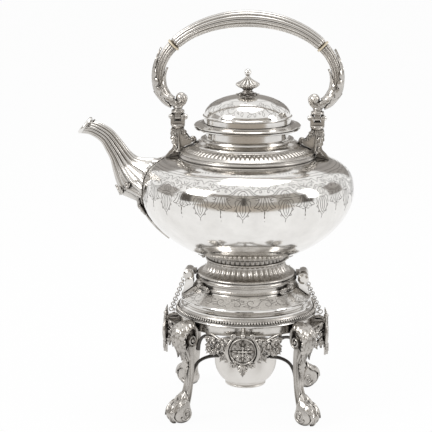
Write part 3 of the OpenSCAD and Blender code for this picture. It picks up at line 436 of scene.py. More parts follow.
# One repeat of the engraving, in degrees round the body and millimetres over the kettle's foot:
# the hanging husk, the tassel between two husks, the straps, and the dots of the matted ground.
husk = both([drawn(s) for s in (
    [(0, 97), (2.0, 94), (3.3, 88), (2.6, 83.5), (1.2, 80.2), (0, 77.5)],
    [(0, 96), (1.2, 92), (1.5, 87), (0.9, 83), (0, 80)],
    [(0.6, 95), (2.6, 96.5), (4.0, 94.4), (3.7, 91.2), (4.6, 89.2)],
    [(3.3, 88), (4.1, 86.4), (2.9, 85.4)], [(2.4, 83), (2.9, 81.2), (1.5, 81)],
    [(1.4, 99), (2.6, 101.2), (1.5, 103.6), (0, 104.6)],
    [(0.4, 98.4), (1.1, 100.6), (0.4, 102.6)])])
husk += [[(0, 96), (0, 92), (0, 88), (0, 84), (0, 80)], [(0, 77.5), (0, 76), (0, 74.4)]]
tassel = both([drawn(s) for s in (
    [(0, 99.5), (0.5, 96), (0.8, 91.5), (0.2, 88.4)],
    [(1.4, 99.5), (1.9, 95), (2.7, 91), (3.9, 88.6), (3.0, 88.0), (2.0, 88.9)],
    [(2.4, 99), (3.3, 95), (4.6, 91.4), (5.6, 89.8), (4.6, 88.8), (3.8, 89.6)],
    [(0, 87), (1.1, 88.6), (1.7, 91)],
    [(0.2, 87), (1.6, 86.2), (2.2, 87.4)])])
tassel = [[(s + 11.25, t) for s, t in stroke] for stroke in tassel]
tassel += [[(11.25, t) for t in (87.6, 84, 80, 75.5)], [(11.0, t) for t in (86, 82, 79)]]
strapwork = both([drawn([(0, 105.6), (2.6, 106.6), (4.6, 104.2), (6.6, 101.6), (9.0, 100.6), (11.25, 100.3)]),
    drawn([(0, 104.6), (2.4, 105.3), (4.0, 103.2), (6.0, 100.4), (8.8, 99.5), (11.25, 99.3)]),
    drawn([(4.4, 98.2), (6.6, 98.8), (8.2, 97.6), (7.4, 96.2), (6.4, 97)]), curl(5.6, 107.4, 2.1, 0.4, 1.1),
    curl(9.0, 104.2, 1.7, 2.6, -1.1),
    curl(3.6, 109.2, 1.3, 3.4, 1.0), drawn([(7.4, 108.8), (8.6, 106.8), (11.25, 106.2)]),
    drawn([(9.4, 109.4), (10.2, 107.6), (11.25, 107.2)]),
    drawn([(0, 108.6), (1.2, 110.4), (2.8, 111.6), (5.2, 111.0), (7.6, 111.8), (11.25, 111.0)]),
    drawn([(6.0, 103.2), (7.0, 105.0), (8.2, 105.8)])])
strapwork += both([[(s, 113.0 + 0.25 * sin(radians(32 * s))) for s in (0, 2.8, 5.6, 8.4, 11.25)],
    [(0, 114.6), (5.6, 114.6), (11.25, 114.6)], [(0, 98.4), (1.6, 98.2), (3.6, 97.6)]])
strapwork += both([drawn([(1 + 2.2 * k, 116.4), (2.0 + 2.2 * k, 118.0), (1.4 + 2.2 * k, 119.4)], 3)
    for k in range(5)])
dots = []
spots = random.Random(5)
for _ in range(46):
    s, t = spots.uniform(-11.2, 11.2), spots.uniform(90, 112)
    if abs(s) > 4.2 and abs(abs(s) - 11.25) > 3.6 or t > 100:
        dots.append([(s, t), (s + 0.12, t - 0.5)])
piece("body_engraving", engraved(on_bowl, repeated(husk + tassel + strapwork, 16), 0.5),
    cut_line, "kettle")
piece("body_stipple", engraved(on_bowl, repeated(dots, 16), 0.4), cut_line, "kettle")

# NECK AND COLLAR
# A cast collar with a sloping band of eggs is soldered round the opening.
# The polished neck rises from its flared ring and ends in the flange that the lid shuts on.
def bumps(a, count, sharp=1.0):
    """0 in the groove between two of count bosses round the turn, 1 on top of each."""
    return abs(sin(a * count / 2)) ** sharp


def bar_faces(rings, sides):
    """The walls between rings of points, and the two ends that close them."""
    walls = []
    for i in range(0, (rings - 1) * sides, sides):
        walls += [(i + k, i + (k + 1) % sides, i + sides + (k + 1) % sides, i + sides + k)
            for k in range(sides)]
    return walls + [tuple(range(sides))[::-1], tuple((rings - 1) * sides + k for k in range(sides))]


def round_bar(path, thick, sides=12, ribs=None):
    """A bar along a path; thick gives its radius at each point, ribs its shape round the turn."""
    path = [Vector(p) for p in path]
    last = len(path) - 1
    points = []
    side = None
    for i, p in enumerate(path):
        along = (path[min(i + 1, last)] - path[max(i - 1, 0)]).normalized()
        if side is None:
            side = Vector((0, 1, 0)) if abs(along.y) < 0.9 else along.orthogonal()
        side = (side - along * side.dot(along)).normalized()
        other = along.cross(side)
        for k in range(sides):
            a = 2 * pi * k / sides
            r = thick[i] * (ribs(a, i / last) if ribs else 1.0)
            points.append(tuple(p + (side * cos(a) + other * sin(a)) * r))
    return points, bar_faces(last + 1, sides)


def ball(centre, r, rings=8, sides=12, squash=(1, 1, 1)):
    """A round boss, drop or bead."""
    x, y, z = centre
    wide, deep, high = [r * s for s in squash]
    points = [(x, y, z - high)]
    for i in range(1, rings):
        b = -pi / 2 + pi * i / rings
        for k in range(sides):
            a = 2 * pi * k / sides
            points.append((x + wide * cos(b) * cos(a), y + deep * cos(b) * sin(a), z + high * sin(b)))
    points.append((x, y, z + high))
    top = len(points) - 1
    faces = [(0, 1 + (k + 1) % sides, 1 + k) for k in range(sides)]
    faces += [(top, top - sides + k, top - sides + (k + 1) % sides) for k in range(sides)]
    for i in range(rings - 2):
        s = 1 + i * sides
        faces += [(s + k, s + (k + 1) % sides, s + sides + (k + 1) % sides, s + sides + k)
            for k in range(sides)]
    return points, faces


def placed(shape, matrix):
    """A shape moved or turned as a whole."""
    points, faces = shape
    return [tuple(matrix @ Vector(p)) for p in points], faces


def around(shape, count):
    """A shape repeated evenly round the axis."""
    return joined(*[placed(shape, Matrix.Rotation(2 * pi * k / count, 4, "Z")) for k in range(count)])


def cast(node, shape, body, crease=60):
    """A casting, chased, in the place of one node; its finish paints shade and tarnish into its hollows."""
    return piece(node + "_cast", shape, cast_silver, body, [node], crease)


EGGS = 84


def egg_slope(a, r, z):
    """Eggs stand up between grooves on the sloping band of the collar."""
    if 57.4 < r < 63.6 and z > 124.6:
        t = (63.6 - r) / 6.2
        round_egg = min(1.0, max(0.0, sin(pi * t)) ** 0.5)
        swell = round_egg * (bumps(a, EGGS, 0.55) - 0.5) * 0.9 - 0.12
        return r + 0.6 * swell, z + 0.8 * swell
    return r, z


slope = [(65.4 - 10.0 * k / 24, 125.6 + 5.4 * (k / 24) ** 0.85) for k in range(25)]
cast("neck_collar", turned([(67.8, 120.4), (68.0, 121.0), (67.8, 122.2), (66.9, 122.7), (66.4, 123.0),
    (66.4, 124.0), (66.9, 124.5), (66.4, 125.1)] + slope
    + [(54.9, 131.3), (54.6, 131.7), (53.8, 131.9), (51.6, 131.6), (51.6, 126.6), (57, 125.4), (62, 123.4)],
    EGGS * 8, egg_slope), "kettle")
finished("neck_skirt", turned_silver)
finished("neck_tube", mirror_silver)

# KETTLE FOOT
# Under the bowl a cast plate of scrolled leaves, a ring of small tongues and a flaring fluted foot
# are soldered together, one below the other.
SCROLLS_AT = (0, 38, 142, 180, 218, 322)  # where the plate's pairs of scrolls sit, in degrees from the right


def padded(rows, n):
    """The faces of a sheet of rows + 1 lines of n points and of its underside, closed at all edges."""
    m = (rows + 1) * n
    faces = []
    for i in range(rows):
        for j in range(n - 1):
            k = i * n + j
            faces += [(k, k + 1, k + n + 1, k + n), (m + k, m + k + n, m + k + n + 1, m + k + 1)]
        k = i * n
        faces += [(k, k + n, m + k + n, m + k), (k + n - 1, m + k + n - 1, m + k + 2 * n - 1, k + 2 * n - 1)]
    k = rows * n
    faces.append(tuple(range(n)) + tuple(m + j for j in range(n - 1, -1, -1)))
    faces.append(tuple(k + j for j in range(n - 1, -1, -1)) + tuple(m + k + j for j in range(n)))
    return faces


def leaf(place, length, width, lobes=4, rib=1.0, rows=30, cols=7, thick=0.9, waist=0.55, curl=0.0, cup=0.5):
    """An acanthus leaf with a mid rib, a number of lobes a side and a vein to each lobe.

    place(along, across, lift) puts it on what carries it."""
    top, under = [], []
    for i in range(rows + 1):
        u = i / rows
        lobe = abs(sin(pi * lobes * u)) ** 0.55
        swell = (waist + (1 - waist) * sin(pi * min(1, u * 1.25) ** 0.9)) * (1 - u ** 3.2)
        half = max(0.02, width * swell * (0.6 + 0.4 * lobe))
        rise = curl * max(0.0, u - 0.55) ** 2 / 0.2
        for j in range(-cols, cols + 1):
            v = j / cols
            mid_rib = 0.75 * math.exp(-(v / 0.13) ** 2) - 0.2 * math.exp(-((abs(v) - 0.28) / 0.12) ** 2)
            veins = 0.5 * cos(2 * pi * (lobes * u - 0.5)) * abs(v) ** 0.8 * (1 - 0.35 * abs(v))
            lift = thick + rib * (mid_rib + veins + cup * (1 - v * v)) + rise
            s = 0.96 * length * u + 0.45 * abs(v) ** 1.2 * half * (1 - u)
            top.append(tuple(place(s, v * half, lift)))
            under.append(tuple(place(s, v * half, min(lift - 0.5, rise))))
    return top + under, padded(rows, 2 * cols + 1)


def plate_edge(a, r, z):
    """The plate's rim runs in and out in scrolled lobes."""
    if r > 40:
        deg = math.degrees(a) % 360
        near = min(abs((deg - b + 180) % 360 - 180) for b in SCROLLS_AT)
        grow = 9.8 * max(0.0, 1 - (near / 15) ** 2) ** 0.8 + 1.5 * math.exp(-((near - 13) / 3.0) ** 2)
        share = (r - 40) / 3.2
        return r + grow * share, z + 0.10 * grow * share
    return r, z


def near_bowl(angle, r, lift):
    """A point just under the bowl at a radius from the axis."""
    h = WIDEST - DROP * max(0.0, 1 - (r / BODY_R) ** BELLY) ** (1 / BELLY)
    return Vector((r * cos(angle), r * sin(angle), max(h, BOTTOM) + lift))


plate = turned([(31, 21.4), (38, 21.0), (40.6, 21.6), (42.0, 22.8), (43.0, 24.1), (43.2, 24.7), (42.4, 25.1),
    (38, 25.15), (31, 25.1)], 288, plate_edge)
scrolls = []
for deg in SCROLLS_AT:
    a = radians(deg)
    for hand in (-1, 1):
        def on_plate(s, t, lift, a=a, hand=hand):
            b = a + hand * s / 44
            foot = near_bowl(b, 46.5 + t - 0.0045 * s * s, 0.0)
            return foot + Vector((cos(b), sin(b), -1)) * (0.4 + lift * 0.5) * 0.7
        scrolls.append(leaf(on_plate, 15, 4.6, 3, 0.9, 18, 4, 0.8, curl=0.6))
        eye = near_bowl(a + hand * 0.16, 50.4, -1.4)
        round_way, out_way = Vector((-sin(a), cos(a), 0)) * hand, Vector((cos(a), sin(a), 0.5)).normalized()
        coil = [eye + (round_way * cos(0.5 * k) + out_way * sin(0.5 * k)) * 2.6 * (1 - 0.05 * k)
            for k in range(15)]
        scrolls.append(round_bar(coil, [1.15 - 0.045 * k for k in range(15)], 8))
        scrolls.append(ball(eye, 1.3))
    scrolls.append(ball(near_bowl(a, 52.6, -1.1), 1.9, squash=(1, 1, 0.8)))
cast("base_plate", joined(plate, *scrolls), "kettle", 50)


TONGUES = FLUTES = 48


def tongue_ring(a, r, z):
    """Small upright tongues with round tops round the band."""
    if z > 16.9 and r > 38.4:
        t = (z - 17.1) / 3.9
        swell = bumps(a, TONGUES, 0.5) * sin(pi * min(1, max(0, 0.12 + 0.9 * t))) ** 0.5
        return r - 0.9 + 1.3 * swell, z
    return r, z


band = [(39.3, 17.2), (39.2, 17.6), (39.0, 18.2), (38.9, 18.8), (38.9, 19.4), (39.1, 20.0), (39.4, 20.6),
    (39.8, 21.0), (39.4, 21.25)]
cast("foot_band", turned([(38.4, 14.62), (40.0, 14.7), (40.9, 15.2), (41.2, 15.9), (40.9, 16.6), (40.1, 17.0)]
    + band + [(32, 21.2), (32, 14.62)], TONGUES * 10, tongue_ring), "kettle")


def fluted(a, r, z):
    """Hollow flutes with round lower ends run down the flare."""
    if 2.4 < z < 14.2 and r > 38.8:
        end = min(1.0, max(0.0, (z - 2.9) / 2.6))
        hollow = max(0.0, bumps(a, FLUTES, 0.8) - 0.25) * end ** 0.5 * min(1.0, (14.3 - z) / 0.7)
        return r - 1.25 * hollow, z - 0.5 * hollow
    return r, z


flare = []
for k in range(19):
    b = radians(4 + 86 * k / 18)
    flare.append((39.2 + 9.6 * (1 - sin(b)), 14.35 - 11.7 * cos(b)))
cast("kettle_foot", turned([(48.4, 0.02), (49.6, 0.1), (50.0, 0.6), (49.9, 1.3), (49.3, 1.9), (48.9, 2.3)]
    + flare + [(33.4, 14.35), (36.5, 8), (44.6, 0.02)], FLUTES * 12, fluted), "kettle")

# LID
# The lid is raised like the body, with a stepped edge and a rolled flange.
# It turns on a small hinge at the back.
# Its dome is engraved with a running vine between two plain lines.
DOME_R, DOME_FOOT, DOME_RISE = 43.4, 160, 22  # the dome's radius, where it starts, and how high it rises


def dome_height(r):
    """The height of the dome at a radius."""
    return DOME_FOOT + DOME_RISE * math.sqrt(max(0.0, 1 - (r / DOME_R) ** 2))


def on_dome(angle, s, lift=0.0):
    """A point on the dome: an angle in degrees from the front and the distance up from its edge."""
    b = radians(2 + s * 2.0)
    n = Vector((cos(b) / DOME_R, sin(b) / DOME_RISE)).normalized()
    r, z = DOME_R * cos(b) + n[0] * lift, DOME_FOOT + DOME_RISE * sin(b) + n[1] * lift
    return Vector((r * sin(radians(angle)), -r * cos(radians(angle)), z))


outside = [(DOME_R * cos(radians(b)), DOME_FOOT + DOME_RISE * sin(radians(b))) for b in range(5, 89, 3)]
inside = [((DOME_R - WALL) * cos(radians(b)), DOME_FOOT + (DOME_RISE - WALL) * sin(radians(b)))
    for b in range(86, 2, -4)]
piece("lid_raised", turned([(38.1, 145.4), (38.1, 150.3), (42.85, 150.3), (42.9, 154.0), (43.25, 154.4),
    (43.2, 159.0), (43.7, 159.5), (44.4, 160.0), (44.6, 160.6), (44.4, 161.2), (43.5, 161.8)]
    + outside + [(0, 182), (0, 180.4)] + inside + [(41.6, 153), (36.9, 151.6), (36.9, 145.4)], 160),
    mirror_silver, "lid", ["lid_shell"], 32)
finished("lid_flange", turned_silver)
finished("lid_hinge_leaf", turned_silver)
finished("lid_hinge_ears", turned_silver)
vine = [drawn(s) for s in (
    [(-15, 16), (-11, 20.5), (-6, 21), (-1, 17), (3, 12), (8, 9.6), (12.5, 11.6), (15, 16)],
    [(-11, 20.5), (-9.4, 15.4), (-5.6, 12.6), (-2.6, 14.4), (-3.6, 17.4), (-6.2, 16.8), (-6.4, 15)],
    [(3, 12), (2.6, 17), (5.8, 20.6), (9.8, 19.4), (10.2, 15.8), (7.4, 14.8), (6.4, 16.8)],
    [(-15, 16), (-13.4, 12.2), (-10.2, 9.4), (-12, 13.4), (-15, 16)],
    [(-6, 21), (-3, 24), (1, 24.4), (-1.6, 21.6), (-4, 20.4)],
    [(-1, 17), (0.2, 20.4), (3, 23), (2.2, 19.4)], [(8, 9.6), (5.4, 6.8), (1.6, 6.4), (4, 9), (6.4, 10.2)],
    [(12.5, 11.6), (13.6, 8.6), (11.6, 6.2), (10.6, 9.4)],
    [(-5.6, 12.6), (-7.4, 9.4), (-5.4, 6.6), (-4, 9.8), (-5.6, 12.6)])]
vine += [[(s, t) for s in (-15, -5, 5, 15)] for t in (26.2, 3.6)]
piece("lid_engraving", engraved(on_dome, repeated(vine, 12), 0.34), cut_line, "lid")

# FINIAL
# A leafed disc and a spool carry the ribbed knob; all are cast and chased.
# A ball nut on a stud through the dome holds them.
petals = []
for k in range(8):
    def on_disc(s, t, lift, a=2 * pi * k / 8):
        r = 4.0 + s
        x, y = r * cos(a) - t * sin(a), r * sin(a) + t * cos(a)
        return Vector((x, y, dome_height(hypot(x, y)) + 0.35 + lift * 0.55))
    petals.append(leaf(on_disc, 8.0, 3.3, 2, 0.9, 14, 4, 0.9, waist=0.7))
spool = turned([(0, 182.3), (5.6, 182.6), (6.2, 183.4), (6.0, 184.3), (5.0, 184.9), (4.5, 185.5), (4.6, 186.3),
    (5.2, 186.8), (5.5, 187.3), (5.2, 187.6), (0, 187.6)], 64)
cast("finial_base", joined(spool, *petals), "lid", 50)


RIBS = 14


def ribbed(a, r, z):
    """Fourteen ribs run down the knob from its stem, with hollows between."""
    if r > 2.4:
        share = min(1.0, (r - 2.4) / 5)
        dip = (1 - bumps(a, RIBS, 0.6)) * share
        return r - 1.25 * dip, z - (0.5 * dip if z > 190.5 else 0)
    return r, z


cast("finial_knob", turned([(0, 187.85), (5.0, 187.85), (7.6, 188.3), (9.9, 189.5), (11.6, 190.9),
    (12.2, 191.7), (12.0, 192.4), (11.1, 193.1), (9.4, 194.1), (7.4, 195.2), (5.5, 196.3),
    (4.0, 197.4), (2.9, 198.5), (2.2, 199.3), (1.9, 200), (0, 200)], RIBS * 12, ribbed), "lid")
finished("finial_ball", mirror_silver)

# SPOUT
# The spout is cast hollow in two halves and chased with sixteen reeds.
# A rolled lip is soldered round its oblique mouth.
# Cast leaves and scrolls cover its joint with the body, and a row of beads runs round it.
REEDS = 16
# along the spout's middle: x and height of the upper edge, x and height of the lower edge, half the width
spout_run = eased([(-154.5, 154.1, -165.8, 140.8, 8.6), (-146.2, 151.6, -157.2, 139.5, 8.2),
    (-134.7, 144.7, -146.8, 132.6, 8.4), (-124.9, 133.6, -140.9, 122.5, 9.8),
    (-117, 123.5, -137, 114.4, 11.2), (-109.1, 117.5, -134.6, 104.3, 14.2), (-100.1, 116.2, -131.2, 92.1, 19),
    (-93, 116.3, -126, 79.5, 23.4)])


def on_spout(i, a, lift=0.0, reeds=0.0):
    """A point on the spout: a place along its run and an angle round it, from the top."""
    i = min(max(i, 0.0), len(spout_run) - 1.001)
    p = spout_run[int(i)].lerp(spout_run[int(i) + 1], i - int(i))
    up, low = Vector((p[0], 0, p[1])), Vector((p[2], 0, p[3]))
    half = (up - low) / 2
    f = 1 - reeds * (1 - abs(sin(REEDS / 2 * a)))
    across = Vector((0, 1, 0)) * (p[4] * f + lift)
    return (up + low) / 2 + half * (f + lift / half.length) * cos(a) + across * sin(a)


JOINT_H = 93  # height of the middle of the spout's joint over the kettle's foot


def joint_oval(a, high, wide, lift=0.35):
    """The oval on the body that the spout is soldered to."""
    h = JOINT_H + high * cos(a)
    r, f = bowl_radius(h) + lift, radians(wide) * sin(a)
    return Vector((-r * cos(f), r * sin(f), h))


sides = REEDS * 10
rings = [[on_spout(i, 2 * pi * k / sides, 0, 0.15 * min(1.0, 0.45 + i / 20)) for k in range(sides)]
    for i in range(len(spout_run))]
rings.append([joint_oval(2 * pi * k / sides, 22.6, 15.2) for k in range(sides)])
rings.append([joint_oval(2 * pi * k / sides, 19.6, 13.4) for k in range(sides)])
rings += [[on_spout(i, 2 * pi * k / sides, -1.9) for k in range(sides)]
    for i in range(len(spout_run) - 1, -1, -1)]
tube = [tuple(p) for ring in rings for p in ring]
walls = [(i * sides + k, i * sides + (k + 1) % sides, (i + 1) % len(rings) * sides + (k + 1) % sides,
    (i + 1) % len(rings) * sides + k) for i in range(len(rings)) for k in range(sides)]
piece("spout_reeded", (tube, walls), turned_silver, "kettle", ["spout"], 80)
finished("spout_lip", mirror_silver)


def behind_lip(s, t, lift):
    """A place on top of the spout: distance down from the lip, across, and off the metal."""
    return on_spout(0.9 + s * 0.095, t / 8.8, 0.15 + lift * 0.8)


def lip_side(hand):
    """The same on one side of the spout."""
    return lambda s, t, lift: on_spout(0.8 + s * 0.085, hand * 1.15 + t / 8.8, 0.1 + lift * 0.8)


cast("spout_tip_leaf", joined(leaf(behind_lip, 20, 5.2, 2, 0.8, 30, 5, 0.8, waist=0.8),
    leaf(lip_side(1), 12, 3.4, 2, 0.6, 20, 4, 0.6), leaf(lip_side(-1), 12, 3.4, 2, 0.6, 20, 4, 0.6)), "kettle")


def down_bowl(s, t, lift, start=74.0):
    """A place on the bowl under the spout: distance down from the joint, across, and off the metal."""
    h = start - s * 0.92
    return on_bowl(-90 + math.degrees(t / bowl_radius(h)), h, 0.3 + lift)


def spiral(centre, r_start, r_end, start, stop, thick, thin, steps=26, sides=8):
    """A tapering scroll in the plane of x and z, from an angle to another, in degrees."""
    path, radii = [], []
    for k in range(steps + 1):
        u = k / steps
        a = radians(start + (stop - start) * u)
        r = r_start + (r_end - r_start) * u ** 0.8
        path.append((centre[0] + r * cos(a), centre[1], centre[2] + r * sin(a)))
        radii.append(thick + (thin - thick) * u)
    return round_bar(path, radii, sides)


def laid_on_bowl(shape, h, lift):
    """Something made flat in the plane of x and z is bent over the bowl under the spout."""
    points, faces = shape
    bent = [tuple(on_bowl(-90 + math.degrees(x / bowl_radius(h + z)), h + z, lift - y)) for x, y, z in points]
    return bent, faces


cluster = [leaf(down_bowl, 41, 8.6, 4, 1.5, 40, 7, 1.6, waist=0.85, cup=1.2)]
for hand in (-1, 1):
    cluster.append(leaf(lambda s, t, lift, hand=hand: down_bowl(0.35 * s + t * 0.75,
        hand * (3 + s * 0.86) + hand * t * -0.3, 1.2 + lift, 77), 17, 5.2, 3, 1.1, 22, 5, 1.2, curl=1.5))
    cluster.append(leaf(lambda s, t, lift, hand=hand: down_bowl(-0.95 * s, hand * (14.5 + 0.34 * s) + t,
        2.2 + lift, 73), 19, 4.2, 3, 1.1, 22, 5, 1.2, curl=1.0))
    cluster.append(laid_on_bowl(spiral((hand * 9.5, 0, 0), 5.2, 0.8, 90 + hand * 10, 90 - hand * 510, 1.7, 0.9,
        30), 66.5, 2.6))
    cluster.append(laid_on_bowl(spiral((hand * 5.2, 0, 0), 3.4, 0.6, 90 - hand * 30, 90 - hand * 490, 1.3, 0.7,
        26), 57.5, 2.0))
    cluster.append(laid_on_bowl(ball((hand * 9.5, 0, 0), 1.7), 66.5, 3.6))
cluster.append(laid_on_bowl(ball((0, 0, 0), 3.6, 8, 14, (1, 1, 1.15)), 69.5, 4.0))
for k in range(5):
    a = radians(-64 + 32 * k)
    cluster.append(leaf(lambda s, t, lift, a=a: on_spout(len(spout_run) - 1.2 - 0.40 * s, pi + a + t / 26,
        0.5 + lift),
        17 - 2.2 * abs(k - 2), 5.4, 2, 0.9, 18, 4, 0.9, waist=0.8, curl=0.5))
cast("spout_leaf", joined(*cluster), "kettle")
piece("spout_joint_beads", joined(*[ball(joint_oval(2 * pi * k / 72, 23.4, 15.9, 0.5), 0.95, 6, 8)
    for k in range(72)]), cast_silver, "kettle")

# HANDLE
# The grip is a reeded arch held between two bone rings, which keep the heat from it.
# Each arm below is cast with the same reeds, wrapped in two leaves, and ends in a smooth ball over its pivot.
ARCH_HALF, ARCH_RISE, ARCH_FOOT = 88.1, 59.7, 197.0  # half an ellipse: half its width, its height, and its foot
PIVOT_X, PIVOT_H = 69.2, 158.8  # the handle's pivots: out from the axis, and over the kettle's foot
GRIP_END = radians(34.8)        # where the grip meets its bone rings
GRIP_STEPS, GRIP_REEDS = 96, 12


def arch(a):
    """A point of the arch's middle line at an angle, and the direction out from it."""
    t = Vector((-ARCH_HALF * sin(a), 0, ARCH_RISE * cos(a))).normalized()
    return Vector((ARCH_HALF * cos(a), 0, ARCH_FOOT + ARCH_RISE * sin(a))), Vector((t.z, 0, -t.x))


grip_points = []
sides = GRIP_REEDS * 12
for i in range(GRIP_STEPS + 1):
    a = GRIP_END + (pi - 2 * GRIP_END) * i / GRIP_STEPS
    mid, out = arch(a)
    rise = (sin(a) - sin(GRIP_END)) / (1 - sin(GRIP_END))
    r = (6.4 + 1.95 * rise * rise) * min(1.0, 0.80 + i / 10, 0.80 + (GRIP_STEPS - i) / 10)
    for k in range(sides):
        b = 2 * pi * k / sides
        f = 1 - 0.15 * (1 - abs(sin(GRIP_REEDS / 2 * b)) ** 0.55)
        grip_points.append(tuple(mid + (out * cos(b) + Vector((0, 1, 0)) * sin(b)) * r * f))
piece("handle_grip_reeded", (grip_points, bar_faces(GRIP_STEPS + 1, sides)), turned_silver, "handle",
    ["handle_grip"], 70)

bone, wire = bare(bpy.data.materials.new("bone_ring"))
where = shader(bone, "ShaderNodeTexCoord")
growth = shader(bone, "ShaderNodeTexNoise", in_Scale=900.0, in_Detail=4.0)
tint = two_tone(bone, (0.62, 0.50, 0.33), (0.84, 0.76, 0.60))
skin = shader(bone, "ShaderNodeBsdfPrincipled", in_Roughness=0.35)
wire(where.outputs["Object"], growth.inputs["Vector"])
wire(growth.outputs["Fac"], tint.inputs[0])
wire(tint.outputs[2], skin.inputs["Base Color"])
wire(skin.outputs[0], shader(bone, "ShaderNodeOutputMaterial").inputs[0])
finished("insulators", bone)

arm_line = drawn([(ARCH_HALF * cos(radians(a)), ARCH_FOOT + ARCH_RISE * sin(radians(a)))
    for a in (32.3, 24, 13, 3)]
    + [(86.9, 188.4), (83.5, 181.4), (78.8, 175.7), (72.6, 172.4)], 6)
arm_thick = [5.7 - 0.5 * min(1.0, i / 10) - 1.2 * max(0.0, (i / (len(arm_line) - 1) - 0.55) / 0.45) ** 1.3
    for i in range(len(arm_line))]


def on_arm(s, t, lift, outer):
    """A place on the arm: distance up from its lower end, across, off the metal; outer is -1 on the inside."""
    run, i = s, len(arm_line) - 1
    while i > 0:
        step = hypot(arm_line[i][0] - arm_line[i - 1][0], arm_line[i][1] - arm_line[i - 1][1])
        if run <= step or i == 1:
            break
        run -= step
        i -= 1
    a, b = Vector((arm_line[i][0], 0, arm_line[i][1])), Vector((arm_line[i - 1][0], 0, arm_line[i - 1][1]))
    f = min(run / step, 1.6)
    along = (b - a).normalized()
    out = Vector((along.z, 0, -along.x)) * outer
    r = arm_thick[i] * 0.95 + 0.2 + lift
    w = t / (arm_thick[i] * 0.95)
    return a.lerp(b, f) + out * r * cos(w) + Vector((0, 1, 0)) * r * sin(w)


def mirrored(shape, hand):
    """A shape made on the right, kept there for 1 and mirrored to the left for -1."""
    return placed(shape, Matrix.Diagonal((hand, 1, 1, 1)))


def handle_arm(hand):
    """One arm with its leaves, made on the right and mirrored for the left."""

    def reeds(b, u):
        return 1 - (0.14 if u < 0.6 else 0.05) * (1 - abs(sin(GRIP_REEDS / 2 * b)) ** 0.6)

    bar = round_bar([(x, 0, z) for x, z in arm_line], arm_thick, GRIP_REEDS * 10, reeds)
    leaves = [leaf(lambda s, t, lift: on_arm(4 + s, t, lift, 1), 57, 8.2, 6, 1.0, 48, 8, 0.9, curl=1.0),
        leaf(lambda s, t, lift: on_arm(2 + s, t, lift, -1), 44, 7.6, 5, 0.9, 36, 7, 0.8, curl=0.8),
        leaf(lambda s, t, lift: on_arm(1 + s, t, lift + 0.7, 1), 20, 5.6, 3, 0.7, 26, 5, 0.6, curl=0.6)]
    for d in (-1, 1):
        leaves.append(leaf(lambda s, t, lift, d=d: on_arm(2 + s, d * 8.2 + t * 0.8, lift + 0.3, 1), 24, 3.8, 3,
            0.7, 24, 4, 0.6, curl=0.5))
    return mirrored(joined(bar, *leaves), hand)


cast("arm_right", handle_arm(1), "handle")
cast("arm_left", handle_arm(-1), "handle")


def ball_scroll(hand):
    """The curled end of an arm over the plates and the neck of its pivot."""
    sweep = [(x, 0, z) for x, z in drawn([(73.4, 172.8), (69.9, 171.2), (66.4, 172.0), (63.4, 174.4),
        (62.0, 178.0), (64.0, 180.8)], 5)]
    curls = [round_bar(sweep, [4.2 - 2.4 * max(0.0, k / (len(sweep) - 1) - 0.25) / 0.75
        for k in range(len(sweep))], 24), ball((65.9, 0, 177.7), 5.4, 20, 32)]
    for d in (-1, 1):
        curls.append(placed(turned([(0, 0), (2.3, 0), (2.2, 0.9), (1.7, 1.5), (0.9, 1.8), (0, 1.9)], 24),
            Matrix.Translation((65.9, d * 4.7, 177.7)) @ Matrix.Rotation(-d * pi / 2, 4, "X")))
        curls.append(leaf(lambda s, t, lift, d=d: Vector((73.0 - s * 0.93, d * (3.0 + lift),
            172.6 - 0.30 * s + 0.055 * s * s + t)), 10, 2.6, 2, 0.7, 16, 4, 0.7))
    neck = turned([(0, 162.9), (5.9, 162.9), (6.4, 163.2), (6.6, 163.8), (6.5, 165.0), (6.1, 165.6),
        (5.2, 165.9), (4.6, 166.2), (4.3, 166.9), (4.5, 167.6), (4.9, 168.2), (4.5, 168.8),
        (4.0, 169.6), (4.2, 170.4), (0, 171)], 64)
    return mirrored(joined(placed(neck, Matrix.Translation((PIVOT_X, 0, 0))), *curls), hand)


cast("arm_scrolls", joined(ball_scroll(1), ball_scroll(-1)), "handle", 50)
finished("handle_tongues", cast_silver)
finished("handle_pins", mirror_silver)

# POSTS
# Two cast brackets of leaves are soldered to the body's shoulder and to the collar.
# Each ends in a fork that holds one pivot of the handle.
def slab(outline, y_from, y_to):
    """A flat shape in the plane of x and z given a thickness along y."""
    n = len(outline)
    points = [(x, y, z) for y in (y_from, y_to) for x, z in outline]
    rim = [(k, n + k, n + (k + 1) % n, (k + 1) % n) for k in range(n)]
    return points, [tuple(range(n)), tuple(range(2 * n - 1, n - 1, -1))] + rim


def hugging(line, across, out):
    """Lays a leaf along a line of the post, a flat width across it, lifted the way out."""
    run = eased(line, 6)

    def place(s, t, lift):
        i, rest = 0, s
        while i < len(run) - 2 and rest > (run[i + 1] - run[i]).length:
            rest -= (run[i + 1] - run[i]).length
            i += 1
        way = (run[i + 1] - run[i]).normalized()
        p = run[i] + way * min(rest, 2.0)
        normal = Vector((way[1], -way[0])) * out
        fold = max(0.0, abs(t) - across)
        p = p + normal * (lift - fold * 0.8)
        return Vector((p[0], (min(abs(t), across) + 0.3 * fold) * (1 if t > 0 else -1), p[1]))
    return place


